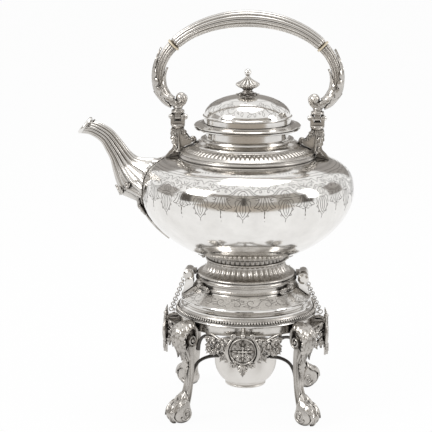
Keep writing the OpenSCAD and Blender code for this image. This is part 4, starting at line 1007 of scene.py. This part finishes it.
def post(hand):
    """One post, made on the right and mirrored for the left."""
    x0 = PIVOT_X
    core = slab(drawn([(x0 - 6.0, 147.8), (x0 + 6.0, 147.8), (x0 + 6.1, 141.5), (x0 + 4.9, 136.8),
        (x0 + 4.2, 130.8), (x0 + 5.6, 126.4), (x0 + 8.8, 123.4), (x0 + 12.0, 119.8)], 4)
        + [(r - 0.2, shoulder_height(r - 0.4) + 0.35) for r in (81.6, 78.5, 75, 71.5, 68.9)]
        + [(68.3, 122.9), (67.0, 124.8), (65.9, 126.2), (61, 130.3), (57.0, 132.0), (54.2, 134.2),
        (53.4, 137.0), (55.6, 137.6), (58.4, 136.4), (60.8, 139.6), (62.4, 143.4)], -3.6, 3.6)
    parts = [core, slab([(x0 - 3.6, 151.4), (x0 + 3.6, 151.4), (x0 + 3.6, 154.2), (x0 + 2.6, 154.8),
        (x0 - 2.6, 154.8), (x0 - 3.6, 154.2)], -3.5, 3.5)]
    parts.append(placed(turned([(0, 146.9), (4.4, 146.9), (5.2, 147.5), (6.2, 148.5), (7.0, 149.6),
        (7.1, 150.8), (6.6, 151.5), (5.6, 151.8), (0, 151.8)], 64), Matrix.Translation((x0, 0, 0))))
    for d in (-1, 1):
        ear = turned([(0, -1.85), (3.3, -1.85), (3.7, -1.4), (3.7, 1.4), (3.3, 1.85), (0, 1.85)], 40)
        parts.append(placed(ear, Matrix.Translation((x0 + d * 5.25, 0, PIVOT_H))
            @ Matrix.Rotation(pi / 2, 4, "Y")))
        parts.append(slab([(x0 + d * 5.25 - 1.8, 151.4), (x0 + d * 5.25 + 1.8, 151.4),
            (x0 + d * 5.25 + 1.8, PIVOT_H), (x0 + d * 5.25 - 1.8, PIVOT_H)], -3.4, 3.4))
        parts.append(spiral((x0 + 3.6, d * 3.8, 143.8), 2.6, 2.4, 0, 360, 0.75, 0.75, 24, 8))
        parts.append(ball((x0 + 3.6, d * 3.7, 143.8), 1.2))
        parts.append(leaf(lambda s, t, lift, d=d: Vector((x0 + 3.2 + t - 0.02 * s * s, d * (3.5 + lift),
            141.0 - s)), 17, 3.4, 3, 1.0, 28, 5, 0.9, waist=0.8))
        parts.append(round_bar([(x0 - 1.2, d * 3.6, 147.4), (x0 - 0.8, d * 4.0, 141), (x0 - 1.0, d * 4.3, 135),
            (x0 - 1.6, d * 4.6, 129), (x0 - 2.6, d * 4.6, 124)], [0.7, 0.9, 1.2, 1.5, 1.2], 10))
        parts.append(leaf(lambda s, t, lift, d=d: Vector((x0 - 3.6 - 0.60 * s, d * (3.4 + lift),
            146.0 - 0.95 * s + 0.024 * s * s + t * 0.9)), 17, 3.0, 4, 1.0, 28, 5, 1.0))
        parts.append(leaf(lambda s, t, lift, d=d: Vector((x0 - 1.0 + 0.70 * s, d * (3.8 + lift),
            130.0 - 0.95 * s + 0.018 * s * s + t * 0.8)), 15, 2.8, 3, 0.9, 24, 4, 0.9))
        parts.append(leaf(lambda s, t, lift, d=d: Vector((x0 - 2.2 - 0.55 * s, d * (3.8 + lift),
            128.0 - 0.3 * s + t * 0.9)), 11, 2.4, 2, 0.9, 20, 4, 0.8))
        parts.append(spiral((x0 - 14.6, d * 1.9, 136.0), 3.0, 0.8, 250, -220, 1.5, 0.9, 28, 10))
        parts.append(ball((x0 - 14.6, d * 2.6, 136.0), 1.5))
        parts.append(placed(leaf(lambda s, t, lift: Vector((x0 - 1 + t * 1.25, -2.6 - 0.36 * s - lift * 0.7,
            129.5 - s * 0.80 + lift * 0.6)), 9.0, 4.4, 3, 0.9, 20, 5, 0.9), Matrix.Diagonal((1, -d, 1, 1))))
    parts.append(leaf(hugging([(x0 + 6.1, 147.4), (x0 + 6.3, 141.5), (x0 + 5.2, 136.8), (x0 + 4.6, 131),
        (x0 + 6.0, 126.8), (x0 + 9.2, 123.8), (x0 + 12.2, 120.4)], 3.4, 1), 28, 6.0, 5, 0.8, 40, 6, 0.9,
        curl=0.4))
    parts.append(leaf(hugging([(x0 - 6.1, 147.4), (x0 - 7.4, 143.0), (x0 - 9.2, 138.6), (x0 - 12.0, 136.0)],
        3.4, -1), 13, 5.6, 3, 0.8, 28, 6, 0.9, curl=0.4))
    for k in range(-3, 4):
        for d in (-1, 1):
            flute = [(x0 + k * 1.75, d * 3.7, 147.2), (x0 + k * 1.7, d * 4.1, 144.4),
                (x0 + k * 1.5, d * 3.9, 141.4)]
            parts.append(round_bar(flute, [0.75, 0.85, 0.4], 8))
    return mirrored(joined(*parts), hand)


cast("post_right", post(1), "kettle", 50)
cast("post_left", post(-1), "kettle", 50)
finished("kettle_lugs", cast_silver)

# GALLERY AND SHOULDER
# The kettle's foot stands on an upright turned ring; below it the spun shoulder slopes out to a polished
# lip and hollow. The shoulder is engraved with a running scroll, and four cast leaf brackets clasp the
# gallery beside the pins.
finished("gallery", cast_silver)
finished("shoulder", turned_silver)
finished("moulding", mirror_silver)


def on_shoulder(angle, s, lift=0.0):
    """A point on the shoulder: degrees from the front, and distance down from its upper edge."""
    t = s / 15.6  # the slope is 15.6 mm long and swells a little in its middle
    r, z = 52.8 + 12.6 * t + lift * 0.58, 126.2 - 9.2 * t - 1.2 * t * (1 - t) + lift * 0.81
    return Vector((r * sin(radians(angle)), -r * cos(radians(angle)), z))


scroll = [drawn(s) for s in (
    [(-15, 7.4), (-12, 4.2), (-8.5, 3.2), (-5, 5.0), (-3.2, 8.4), (-5.4, 11.2), (-8.6, 10.6), (-9.0, 7.8),
    (-7.2, 7.2)],
    [(15, 7.4), (12, 10.6), (8.5, 11.8), (5, 10.0), (3.2, 6.6), (5.4, 3.8), (8.6, 4.4), (9.0, 7.0), (7.2, 7.6)],
    [(-3.2, 8.4), (0, 7.5), (3.2, 6.6)], [(-5, 5.0), (-2.4, 3.6), (0.4, 4.4), (-2.2, 5.4), (-3.8, 6.6)],
    [(5, 10.0), (2.4, 11.4), (-0.4, 10.6), (2.2, 9.6), (3.8, 8.4)],
    [(-12, 4.2), (-13.6, 2.6), (-11, 2.2), (-9.4, 3.2)],
    [(12, 10.6), (13.6, 12.4), (11, 12.8), (9.4, 11.8)], [(-8.5, 3.2), (-6.8, 1.8), (-4.6, 2.4), (-5.4, 4.2)],
    [(8.5, 11.8), (6.8, 13.2), (4.6, 12.6), (5.4, 10.8)])]
scroll += [[(s, t) for s in (-15, -5, 5, 15)] for t in (0.9, 14.6)]
cuts = []
for k in range(12):
    cuts += [[(s + 30 * k, t) for s, t in stroke] for stroke in scroll]
    for _ in range(40):
        s, t = spots.uniform(-15, 15), spots.uniform(1.6, 14)
        cuts.append([(s + 30 * k, t), (s + 30 * k + 0.3, t + 0.45)])
piece("shoulder_engraving", engraved(on_shoulder, cuts, 0.45), cut_line, "stand")


GALLERY_R = 52.4  # outer radius of the gallery


def clasp(deg, hand):
    """A leaf bracket on the gallery that falls away from the pins into a small scroll."""

    def on_gallery(x, z, lift):
        a = radians(deg + hand * math.degrees(x / GALLERY_R))
        return Vector(((GALLERY_R + lift) * cos(a), (GALLERY_R + lift) * sin(a), z))

    def sprig(x, z, lean, length, width, lobes, high=0.0):
        c, s = cos(radians(lean)), sin(radians(lean))
        return leaf(lambda u, v, lift: on_gallery(x + u * c - v * s, z + u * s + v * c, high + lift), length,
            width, lobes, 0.8, 18, 4, 0.9, curl=0.8)

    def ring(x, z, r, thick, step):
        coil = []
        for k in range(23):
            near = r * (1 - 0.75 * k / 22)
            coil.append(on_gallery(x + near * cos(step * k), z + near * sin(step * k), 1.5))
        return round_bar(coil, [thick - 0.02 * k for k in range(23)], 8)

    return joined(sprig(-9.5, 135.6, -22, 15, 3.2, 3), sprig(-8.5, 133.6, 8, 10, 2.4, 2, 0.8),
        sprig(-3, 132.5, 62, 7.5, 2.4, 2, 0.9), sprig(1, 131.2, -6, 8.5, 2.2, 2, 1.0),
        ring(7.8, 130.0, 2.7, 1.0, -0.45), ring(-6.5, 130.6, 2.2, 0.9, 0.45),
        joined(*[ball(on_gallery(x, z, 1.9), 1.3) for x, z in ((7.8, 130), (-2.4, 132.6), (-6.5, 130.6))]),
        round_bar([on_gallery(x, z, 0.7) for x, z in ((-9, 134.6), (-5, 133.2), (-1, 131.6), (3, 129.9),
        (6.5, 128.4))], [1.3, 1.4, 1.3, 1.1, 0.9], 8))


cast("leaf_clasps", joined(clasp(218, 1), clasp(322, -1), clasp(142, -1), clasp(38, 1)), "stand")

# BORDER AND FRIEZE
# A cast border of small tongues runs round the widest part.
# Under it a spun hollow moulding carries the legs and aprons.
border = turned([(61.5, 102.0), (70.4, 102.0), (70.8, 102.35), (70.5, 102.8), (69.6, 103.1), (68.9, 104.2),
    (68.2, 105.5), (67.6, 106.1), (67.5, 106.7), (67.0, 107.2), (66.5, 107.4), (66.2, 108.1), (61.5, 108.1)],
    192)
tongue = round_bar([(70.5, 0, 103.15), (70.25, 0, 103.5), (69.8, 0, 104.3), (69.2, 0, 105.2), (68.6, 0, 105.9)],
    [0.55, 1.0, 1.08, 0.95, 0.55], 8)
cast("bead_border", joined(border, around(tongue, 156)), "stand")
finished("frieze", turned_silver)

# LEGS
# Each leg is one casting: a strap that winds up into a volute under the frieze, an acanthus leaf
# over the knee, a channelled shank, and a foot that curls under into a scroll wrapped in a leaf.
def edges(path, thick):
    """The two edges of a strap in the leg's plane, from its middle line and its thickness."""
    path = [Vector(p) for p in path]
    last = len(path) - 1
    outer, inner = [], []
    for i, p in enumerate(path):
        along = (path[min(i + 1, last)] - path[max(i - 1, 0)]).normalized()
        side = Vector((along.y, -along.x)) * thick[i] / 2
        outer.append(p + side)
        inner.append(p - side)
    return outer, inner


def strap(outer, inner, half, section):
    """A bar between two edge lines; its section runs from the inner edge, 0, to the outer, 1."""
    points = []
    for i, (o, q) in enumerate(zip(outer, inner)):
        points += [(q[0] + (o[0] - q[0]) * u, v * half[i], q[1] + (o[1] - q[1]) * u) for u, v in section]
    return points, bar_faces(len(outer), len(section))


def whole(half_section):
    """A section and its mirror image on the other side of the leg's plane."""
    return half_section + [(u, -v) for u, v in half_section[-2:0:-1]]


channelled = whole([(0.90, 0.0), (0.91, 0.42), (1.0, 0.56), (1.0, 0.84), (0.96, 1.0), (0.84, 1.0), (0.77, 0.78),
    (0.5, 0.68), (0.23, 0.78), (0.16, 1.0), (0.04, 1.0), (0.0, 0.84), (0.0, 0.0)])
reeded = whole([(1.0, 0.0), (0.86, 0.3), (1.0, 0.48), (1.0, 0.82), (0.9, 1.0), (0.62, 0.94), (0.5, 0.86),
    (0.38, 0.94), (0.1, 1.0), (0.0, 0.82), (0.0, 0.0)])


def along_line(line, s):
    """A point at a distance along a line in the leg's plane, and the way out from it."""
    i = 0
    while i < len(line) - 2 and s > (line[i + 1] - line[i]).length:
        s -= (line[i + 1] - line[i]).length
        i += 1
    way = (line[i + 1] - line[i]).normalized()
    return line[i] + way * s, Vector((-way.y, way.x))


def wrapped(line, flat, start=0.0, high=0.0, shift=0.0):
    """Lays a leaf along a line in the leg's plane and folds it down the sides beyond a flat width."""

    def place(s, t, lift):
        p, out = along_line(line, start + s)
        t += shift
        fold = max(0.0, abs(t) - flat)
        across = (min(abs(t), flat) + 0.35 * fold + (lift + high) * min(1.0, fold / 2)) * (1 if t > 0 else -1)
        p = p + out * ((lift + high) * (1 - 0.5 * min(1.0, fold / 3)) - fold * 0.95)
        return Vector((p[0], across, p[1]))
    return place


knee_line = eased([(70.5, 97.5), (76, 99.6), (84, 98.6), (89.6, 94.6), (91.6, 88), (89.8, 80.6), (86.0, 73.4),
    (82.4, 66), (80.6, 57), (80.2, 48)], 6)
foot_line = eased([(82.4, 31), (84.8, 26.6), (89.0, 22.2), (94.4, 20.2), (98.8, 16.4), (100.8, 11), (99.9, 6.4),
    (97.2, 3.6), (93.5, 2.6)], 6)


def pillow(outline, half):
    """The body of the foot: an outline in the leg's plane, swelled across with rounded edges."""
    middle = sum((Vector(p) for p in outline), Vector((0, 0))) / len(outline)
    points, n = [], len(outline)
    rows = [(-1.0, 0.80), (-0.93, 0.90), (-0.75, 0.97), (-0.4, 1.0), (0.4, 1.0), (0.75, 0.97), (0.93, 0.90),
        (1.0, 0.80)]
    for v, f in rows:
        for x, z in outline:
            points.append((middle[0] + (x - middle[0]) * f, v * half, middle[1] + (z - middle[1]) * f))
    faces = [(i * n + k, (i + 1) * n + k, (i + 1) * n + (k + 1) % n, i * n + (k + 1) % n)
        for i in range(len(rows) - 1) for k in range(n)]
    return points, faces + [tuple(range(n)), tuple(len(points) - 1 - k for k in range(n))]


def leg():
    """One leg in the plane of x and z, with x the distance from the middle of the stand."""
    curl_line = drawn([(80.2, 63), (83.2, 70), (87.2, 77.3), (89.4, 84), (89.2, 90), (86.2, 94.6), (80.5, 97.0),
        (75.2, 96.8), (71.9, 93.6), (70.9, 88.4), (71.3, 83.0), (73.8, 79.0),
        (77.6, 78.2), (80.6, 80.8), (80.8, 84.6), (78.2, 87.0), (75.2, 86.2), (74.2, 83.6), (76.0, 82.0),
        (77.6, 83.2)], 5)
    last = len(curl_line) - 1
    thick = [4.2 - 2.6 * max(0.0, i / last - 0.45) / 0.55 for i in range(last + 1)]
    half = [4.4 + 1.2 * min(1.0, i / last / 0.3) + 0.9 * max(0.0, i / last - 0.5) / 0.5
        for i in range(last + 1)]
    parts = [strap(*edges(curl_line, thick), half, reeded)]
    parts.append(slab([(79, 63), (83.4, 72), (87.6, 80), (88, 90), (83, 95), (76, 95.6), (72.4, 90), (72.6, 83),
        (75.6, 79.4), (74.6, 73), (73.4, 63)], -2.4, 2.4))
    outer = eased([(83.5, 76), (81.6, 69), (80.5, 62), (80.0, 54), (79.9, 46), (80.5, 38), (82.2, 31),
        (85.2, 25.4), (89.4, 21)], 6)
    inner = eased([(76.0, 80), (73.8, 75), (72.9, 68), (72.6, 60), (72.9, 51), (73.9, 42), (75.2, 33),
        (77.2, 24.6), (80.2, 15)], 6)
    n = len(outer) - 1
    parts.append(strap(outer, inner, [4.6 - 1.0 * sin(pi * min(1.0, i / n * 0.9)) + 1.0 * (i / n) ** 3
        for i in range(n + 1)], channelled))
    parts.append(leaf(wrapped(knee_line, 5.6), 56, 11.5, 6, 1.6, 64, 9, 1.3, waist=0.75, curl=1.2, cup=0.8))
    for d in (-1, 1):
        parts.append(leaf(wrapped(knee_line, 5.6, 8, 0.9, d * 6.4), 30, 4.6, 4, 1.1, 34, 5, 1.0, curl=1.2))
        parts.append(leaf(wrapped(knee_line, 5.6, 27, 1.2, d * 4.2), 24, 4.0, 4, 1.1, 28, 5, 1.0, curl=1.8))
        parts.append(ball((77.4, d * 5.9, 83.2), 1.9))
        for q in range(5):
            parts.append(ball((76.8 + 10.44 * cos(radians(200 + 36 * q)), d * 3.0, 92.8 - q * 2.2), 1.1))
    parts.append(leaf(wrapped(knee_line, 4.4, 50, 0.6), 26, 4.6, 5, 1.0, 34, 5, 0.9, curl=0.6))
    parts.append(pillow(drawn([(79.0, 15.5), (80.4, 21.5), (84.2, 25.6), (88.2, 21.6), (93.4, 19.4),
        (97.8, 15.8), (99.7, 10.8), (98.8, 5.8), (95.4, 2.1), (91.0, 0.25), (84.6, 0.05), (80.0, 2.2),
        (77.7, 7.2), (77.9, 12)], 3), 6.4))
    parts.append(leaf(wrapped(foot_line, 5.4), 43, 9.4, 5, 1.5, 50, 8, 0.9, waist=0.85, cup=0.5))
    for d in (-1, 1):
        parts.append(leaf(wrapped(foot_line, 5.4, 7, 0.8, d * 5.6), 24, 3.6, 3, 0.9, 26, 4, 0.8))
        parts.append(spiral((85.0, d * 5.9, 9.3), 7.2, 1.3, -20, -660, 1.55, 0.8, 56, 8))
        parts.append(ball((85.0, d * 6.2, 9.3), 1.8))
        parts.append(spiral((93.6, d * 4.4, 10.4), 8.6, 7.4, 100, -80, 1.1, 0.9, 20, 8))
    return joined(*parts)


casting = leg()
for name, turn in (("front_left", 225), ("front_right", 315), ("back_left", 135), ("back_right", 45)):
    cast("leg_" + name, placed(casting, Matrix.Rotation(radians(turn), 4, "Z")), "stand", 50)

# APRONS
# Between the legs hang four cast and pierced aprons.
# Each is a round boss with a cross of petals, between wings of scrolls and leaves.
def petal(length, width, high, rows=12, cols=4):
    """A pointed petal with a ridge along it, lying flat from the origin along x, with z up."""
    points = []
    for i in range(rows + 1):
        u = i / rows
        half = max(0.01, width / 2 * sin(pi * u ** 0.8) ** 0.8)
        for j in range(-cols, cols + 1):
            v = j / cols
            ridge = high * (1 - abs(v)) ** 0.8 * (0.35 + 0.65 * sin(pi * u) ** 0.5)
            points.append((length * u, half * v, ridge + 0.05))
    points += [(x, y, -0.6) for x, y, z in points]
    return points, padded(rows, 2 * cols + 1)


BOSS_OUT, BOSS_H = 79.6, 79.8  # where a boss hangs: out from the axis, and its height over the table


def boss():
    """The round boss, made flat with z up, then hung with its face to the front."""
    parts = [turned([(0, -1.0), (13.0, -1.0), (13.7, -0.3), (13.8, 1.8), (13.4, 3.0), (12.6, 3.5), (11.9, 3.2),
        (11.6, 2.2), (11.2, 1.6), (6, 2.2), (0, 2.4)], 96)]
    for k in range(4):
        way = Matrix.Rotation(k * pi / 2, 4, "Z")
        parts.append(placed(petal(7.0, 3.5, 2.1), way @ Matrix.Translation((4.5, 0, 2.0))))
        parts.append(placed(ball((0, 0, 0), 1.5, squash=(1.1, 1, 0.9)),
            way @ Matrix.Translation((3.5, 0, 3.2))))
        parts.append(placed(round_bar([(1.6, 0, 3.0), (2.2, 0, 3.3), (5, 0, 3.0)], [0.9, 1.1, 0.8], 8), way))
        for lean in (-24, 0, 24):
            way = Matrix.Rotation(k * pi / 2 + pi / 4 + radians(lean), 4, "Z")
            parts.append(placed(petal(5.0 if lean else 6.6, 2.1, 1.1, 8, 3),
                way @ Matrix.Translation((4.4, 0, 1.9))))
        parts.append(placed(ball((0, 0, 0), 0.9), Matrix.Rotation(k * pi / 2 + pi / 4, 4, "Z")
            @ Matrix.Translation((3.2, 0, 2.5))))
    parts.append(ball((0, 0, 3.0), 1.7))
    parts.append(around(ball((12.7, 0, 3.4), 0.55, 5, 6), 56))
    return placed(joined(*parts), Matrix.Translation((0, -BOSS_OUT, BOSS_H)) @ Matrix.Rotation(pi / 2, 4, "X"))


WING_TURN = radians(40.5)  # the wings are bent back from the boss to the legs


def on_wing(x, z, lift):
    """A place on the right wing: distance out from the boss, height, and relief."""
    c, s = cos(WING_TURN), sin(WING_TURN)
    return Vector((8.6 + x * c + (lift - 0.4) * s, -80.8 + x * s - (lift - 0.4) * c, 80.6 + z))


def wing_leaf(x, z, lean, length, width, lobes, high=0.6):
    """A leaf of the wing from a place, leaning by an angle."""
    c, s = cos(radians(lean)), sin(radians(lean))
    return leaf(lambda u, v, lift: on_wing(x + u * c - v * s, z + u * s + v * c, high + lift), length, width,
        lobes, 1.1, 22, 5, 1.1, curl=1.4, waist=0.7)


def wing_scroll(x, z, r, start, stop, thick=1.35, end=0.9):
    """A scroll of the wing, winding from an angle to another in degrees."""
    path, radii = [], []
    for k in range(35):
        u = k / 34
        a, near = radians(start + (stop - start) * u), r * (1 - 0.78 * u ** 0.85)
        path.append(on_wing(x + near * cos(a), z + near * sin(a), 0.8 + 0.8 * u))
        radii.append(thick + (end - thick) * u)
    return round_bar(path, radii, 8)


def apron():
    """One apron, hung in front of the frieze and facing the front."""
    wing = []
    for line, thick, lift in (([(-1, 7.6), (5, 9.4), (12, 8.2), (19, 7.2), (26, 9.2), (32, 10.2), (37, 9.6)],
            1.5, 0.2),
            ([(0, -4.4), (6, -7.2), (13, -7.4), (19, -8.2), (24.5, -5.6), (27.5, -1)], 1.3, 0.2),
            ([(2, 5), (10, 3.4), (18, 5.2), (27, 2.4), (34, 6.4)], 1.6, -0.4)):
        run = drawn(line, 4)
        wing.append(round_bar([on_wing(x, z, lift) for x, z in run], [thick] * len(run), 8))
    wing += [wing_scroll(*place) for place in ((8.4, -0.8, 7.4, 150, -430), (19.8, 0.4, 6.4, 30, 560, 1.3),
        (29.8, 2.2, 6.0, 150, -400, 1.3), (13.8, -9.6, 3.6, 80, -400, 1.0, 0.7),
        (33.8, 5.2, 3.6, -60, 420, 1.0, 0.7))]
    wing += [wing_leaf(*place) for place in ((2.5, -4.5, -52, 13, 4.6, 3), (5, -6.6, -8, 10, 3.2, 3, 1.2),
        (12.5, 1.5, 58, 9, 3.6, 3, 1.2), (14.5, -6.5, -78, 8.5, 3.2, 2), (23.6, 1.5, 46, 9.5, 3.6, 3, 1.2),
        (24, -4.6, -40, 8.5, 3.4, 3, 1.0), (30.5, -1.5, -66, 9, 3.6, 3, 1.0), (28, 5, 8, 10, 3.6, 3, 1.2),
        (18, -5.5, 10, 8, 2.8, 2, 1.2), (6, 6.2, 26, 9, 3.2, 3, 1.0), (-1.5, -9, -62, 10, 4.0, 3, 0.4),
        (34, 1, -82, 8, 3.0, 2, 0.8))]
    for x, z, r in ((8.4, -0.8, 1.9), (19.8, 0.4, 1.8), (29.8, 2.2, 1.7), (26.8, -7.0, 1.9), (29.6, -8.4, 1.7),
            (31.8, -5.9, 1.8), (14.4, 5.6, 1.7), (16.6, 6.9, 1.5), (25.0, 7.0, 1.6), (4.4, -8.8, 1.6),
            (22.6, -3.0, 1.5)):
        wing.append(ball(on_wing(x, z, 1.7), r))
    crescent = [Vector((15.6 * cos(radians(a)), -80.6 - 1.4 * sin(radians((a + 62) * 180 / 124)),
        BOSS_H + 15.6 * sin(radians(a)))) for a in range(-62, 63, 6)]
    wing.append(round_bar(crescent, [0.9 + 1.1 * sin(pi * k / 20) for k in range(21)], 10))
    wing.append(spiral((8.8, -81.2, 94.6), 3.0, 0.7, -60, 380, 1.0, 0.6))
    wing.append(spiral((8.6, -81.2, 65.2), 3.0, 0.7, 60, -380, 1.0, 0.6))
    wing.append(leaf(lambda s, t, lift: Vector((3.0 + s * 0.86 - t * 0.5, -80.9 - lift,
        66.4 + 0.30 * s - s * s * 0.01 + t * 0.86)), 11, 3.0, 3, 0.9, 20, 4, 0.9, curl=0.8))
    right = joined(*wing)
    left = mirrored(right, -1)
    parts = [boss(), right, left]
    parts.append(ball((0, -81.4, 95.2), 2.6))
    parts.append(round_bar([(0, -81.2, 97.4), (0, -81.0, 98.6), (0, -80.7, 100), (0, -80.3, 102),
        (0, -80, 103.8)], [0.7, 1.35, 1.1, 0.7, 0.3], 10))
    parts.append(slab([(-7.6, 66.4), (-4.8, 61.6), (-2.6, 58), (0, 53.6), (2.6, 58), (4.8, 61.6), (7.6, 66.4)],
        -81.6, -79.8))
    parts.append(leaf(lambda s, t, lift: Vector((t, -81.4 - lift, 67.6 - s)), 13.6, 5.2, 3, 1.3, 24, 6, 0.9,
        waist=0.9))
    parts.append(leaf(lambda s, t, lift: Vector((t, -82.6 - lift, 66.2 - s)), 8.5, 2.8, 2, 0.9, 16, 4, 0.8,
        waist=0.9))
    parts.append(slab([(-2.5, 84), (2.5, 84), (2.5, 90.2), (-2.5, 90.2)], -79.8, -64))
    return joined(*parts)


casting = apron()
for name, turn in (("front", 0), ("back", 180), ("left", 270), ("right", 90)):
    cast("apron_" + name, placed(casting, Matrix.Rotation(radians(turn), 4, "Z")), "stand", 55)

# PINS AND CHAINS
# Two polished pins pass through ears on the stand and knuckles on the kettle's foot.
# Each hangs on a fine chain of soldered rings from an eye at the frieze, so that it can't be lost.
finished("stand_ears", mirror_silver)
finished("hinge_pin", turned_silver)
finished("lock_pin", turned_silver)
finished("chain_eyes", cast_silver)


def chain(top, low):
    """Eleven rings linked from one eye to another, each a quarter turn from the one before."""
    links = 11
    top, low = Vector(top), Vector(low)
    flat = Vector((low.x - top.x, 0, low.z - top.z)).normalized() * 2.1
    top, low = top + flat, low - flat
    way = (low - top).normalized()
    across = Vector((0, 1, 0)).cross(way).normalized()
    made = []
    for k in range(links):
        c = (top + way * 0.87).lerp(low - way * 0.87, k / (links - 1))
        z = across if k % 2 == 0 else way.cross(across)
        y = z.cross(way)
        points, faces = [], []
        for i in range(20):
            a = 2 * pi * i / 20
            for j in range(8):
                b = 2 * pi * j / 8
                points.append(tuple(c + (way * cos(a) + y * sin(a)) * (2.05 + 0.5 * cos(b)) + z * 0.5 * sin(b)))
                faces.append((i * 8 + j, (i + 1) % 20 * 8 + j, (i + 1) % 20 * 8 + (j + 1) % 8,
                    i * 8 + (j + 1) % 8))
        made.append((points, faces))
    return joined(*made)


for name, pin, top, low in (("chain_left", "hinge_pin", (-62.7, -10, 133.3), (-75.4, -10, 102.1)),
        ("chain_right", "lock_pin", (62.7, -21, 133.3), (75.4, -10, 102.1))):
    rings = piece(name + "_rings", chain(top, low), cast_silver, None, [name])
    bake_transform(rings)

# LAMP
# Four bent arms, painted near black for the shadow they hang in, hold a ring between the legs; the spun satin
# bowl of the spirit lamp drops into it.
# The low cover carries the burner's tube with its cotton wick and a hinged snuffer.
# painted shade: the arms and ring get a near-black metal that stands for the shadow under the kettle; two small
# pins share it
near_black_metal = metal("dark_bracket", (0.10, 0.092, 0.085), (0.03, 0.027, 0.025), 0.34, 0.004, 0.6, 0.3)
satin_silver = metal("satin_lamp", (0.80, 0.775, 0.74), (0.42, 0.38, 0.34), 0.36, 0.005, 0.5, 0.25)
bracket = [(x, 0, z) for x, z in drawn([(73.2, 41), (72.2, 46.5), (69.6, 52.4), (65.2, 57.0), (59.6, 59.3),
    (52, 60.2), (44, 59.8), (37.4, 58.8)], 5)]
arm = round_bar(bracket, [2.1 - 0.5 * sin(pi * k / (len(bracket) - 1)) for k in range(len(bracket))], 12)
piece("lamp_arms_forged", joined(*[placed(arm, Matrix.Rotation(radians(45 + 90 * k), 4, "Z"))
    for k in range(4)]), near_black_metal, "stand", ["lamp_arms"])
finished("lamp_ring", near_black_metal)
spun = drawn([(22.0, 27.8), (24.4, 29.8), (27.4, 33.6), (29.8, 38.6), (31.2, 44.0), (31.6, 49.5), (31.6, 55),
    (31.6, 60.7)], 6)
piece("lamp_bowl_spun", turned([(0, 22.6), (19.0, 22.6), (20.1, 22.9), (20.6, 23.6), (20.5, 24.6), (19.9, 25.2),
    (20.2, 25.9), (21.0, 26.4), (21.2, 27.0)] + spun + [(34.2, 60.8), (34.6, 61.2), (34.6, 61.7), (34.2, 62),
    (30.2, 62), (30.2, 49), (29.8, 44), (28.2, 39), (25.6, 34.4), (22, 30.4), (18, 26.4), (0, 26.4)], 128),
    satin_silver, "lamp", ["lamp_bowl"], 40)
finished("lamp_cover", satin_silver)
finished("wick_tube", satin_silver)
finished("snuffer", satin_silver)
finished("snuffer_pin", near_black_metal)
finished("lid_hinge_pin", near_black_metal)
wool, wire = bare(bpy.data.materials.new("cotton_wick"))
where = shader(wool, "ShaderNodeTexCoord")
twist = shader(wool, "ShaderNodeTexWave", in_Scale=420.0, in_Distortion=2.0, in_Detail=2.0,
    bands_direction="DIAGONAL")
tint = two_tone(wool, (0.66, 0.62, 0.54), (0.90, 0.88, 0.82))
lay = shader(wool, "ShaderNodeBump", in_Strength=0.6, in_Distance=0.0003)
skin = shader(wool, "ShaderNodeBsdfPrincipled", in_Roughness=0.95)
wire(where.outputs["Object"], twist.inputs["Vector"])
wire(twist.outputs["Fac"], tint.inputs[0])
wire(twist.outputs["Fac"], lay.inputs["Height"])
wire(tint.outputs[2], skin.inputs["Base Color"])
wire(lay.outputs[0], skin.inputs["Normal"])
wire(skin.outputs[0], shader(wool, "ShaderNodeOutputMaterial").inputs[0])
finished("wick", wool)

low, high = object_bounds()
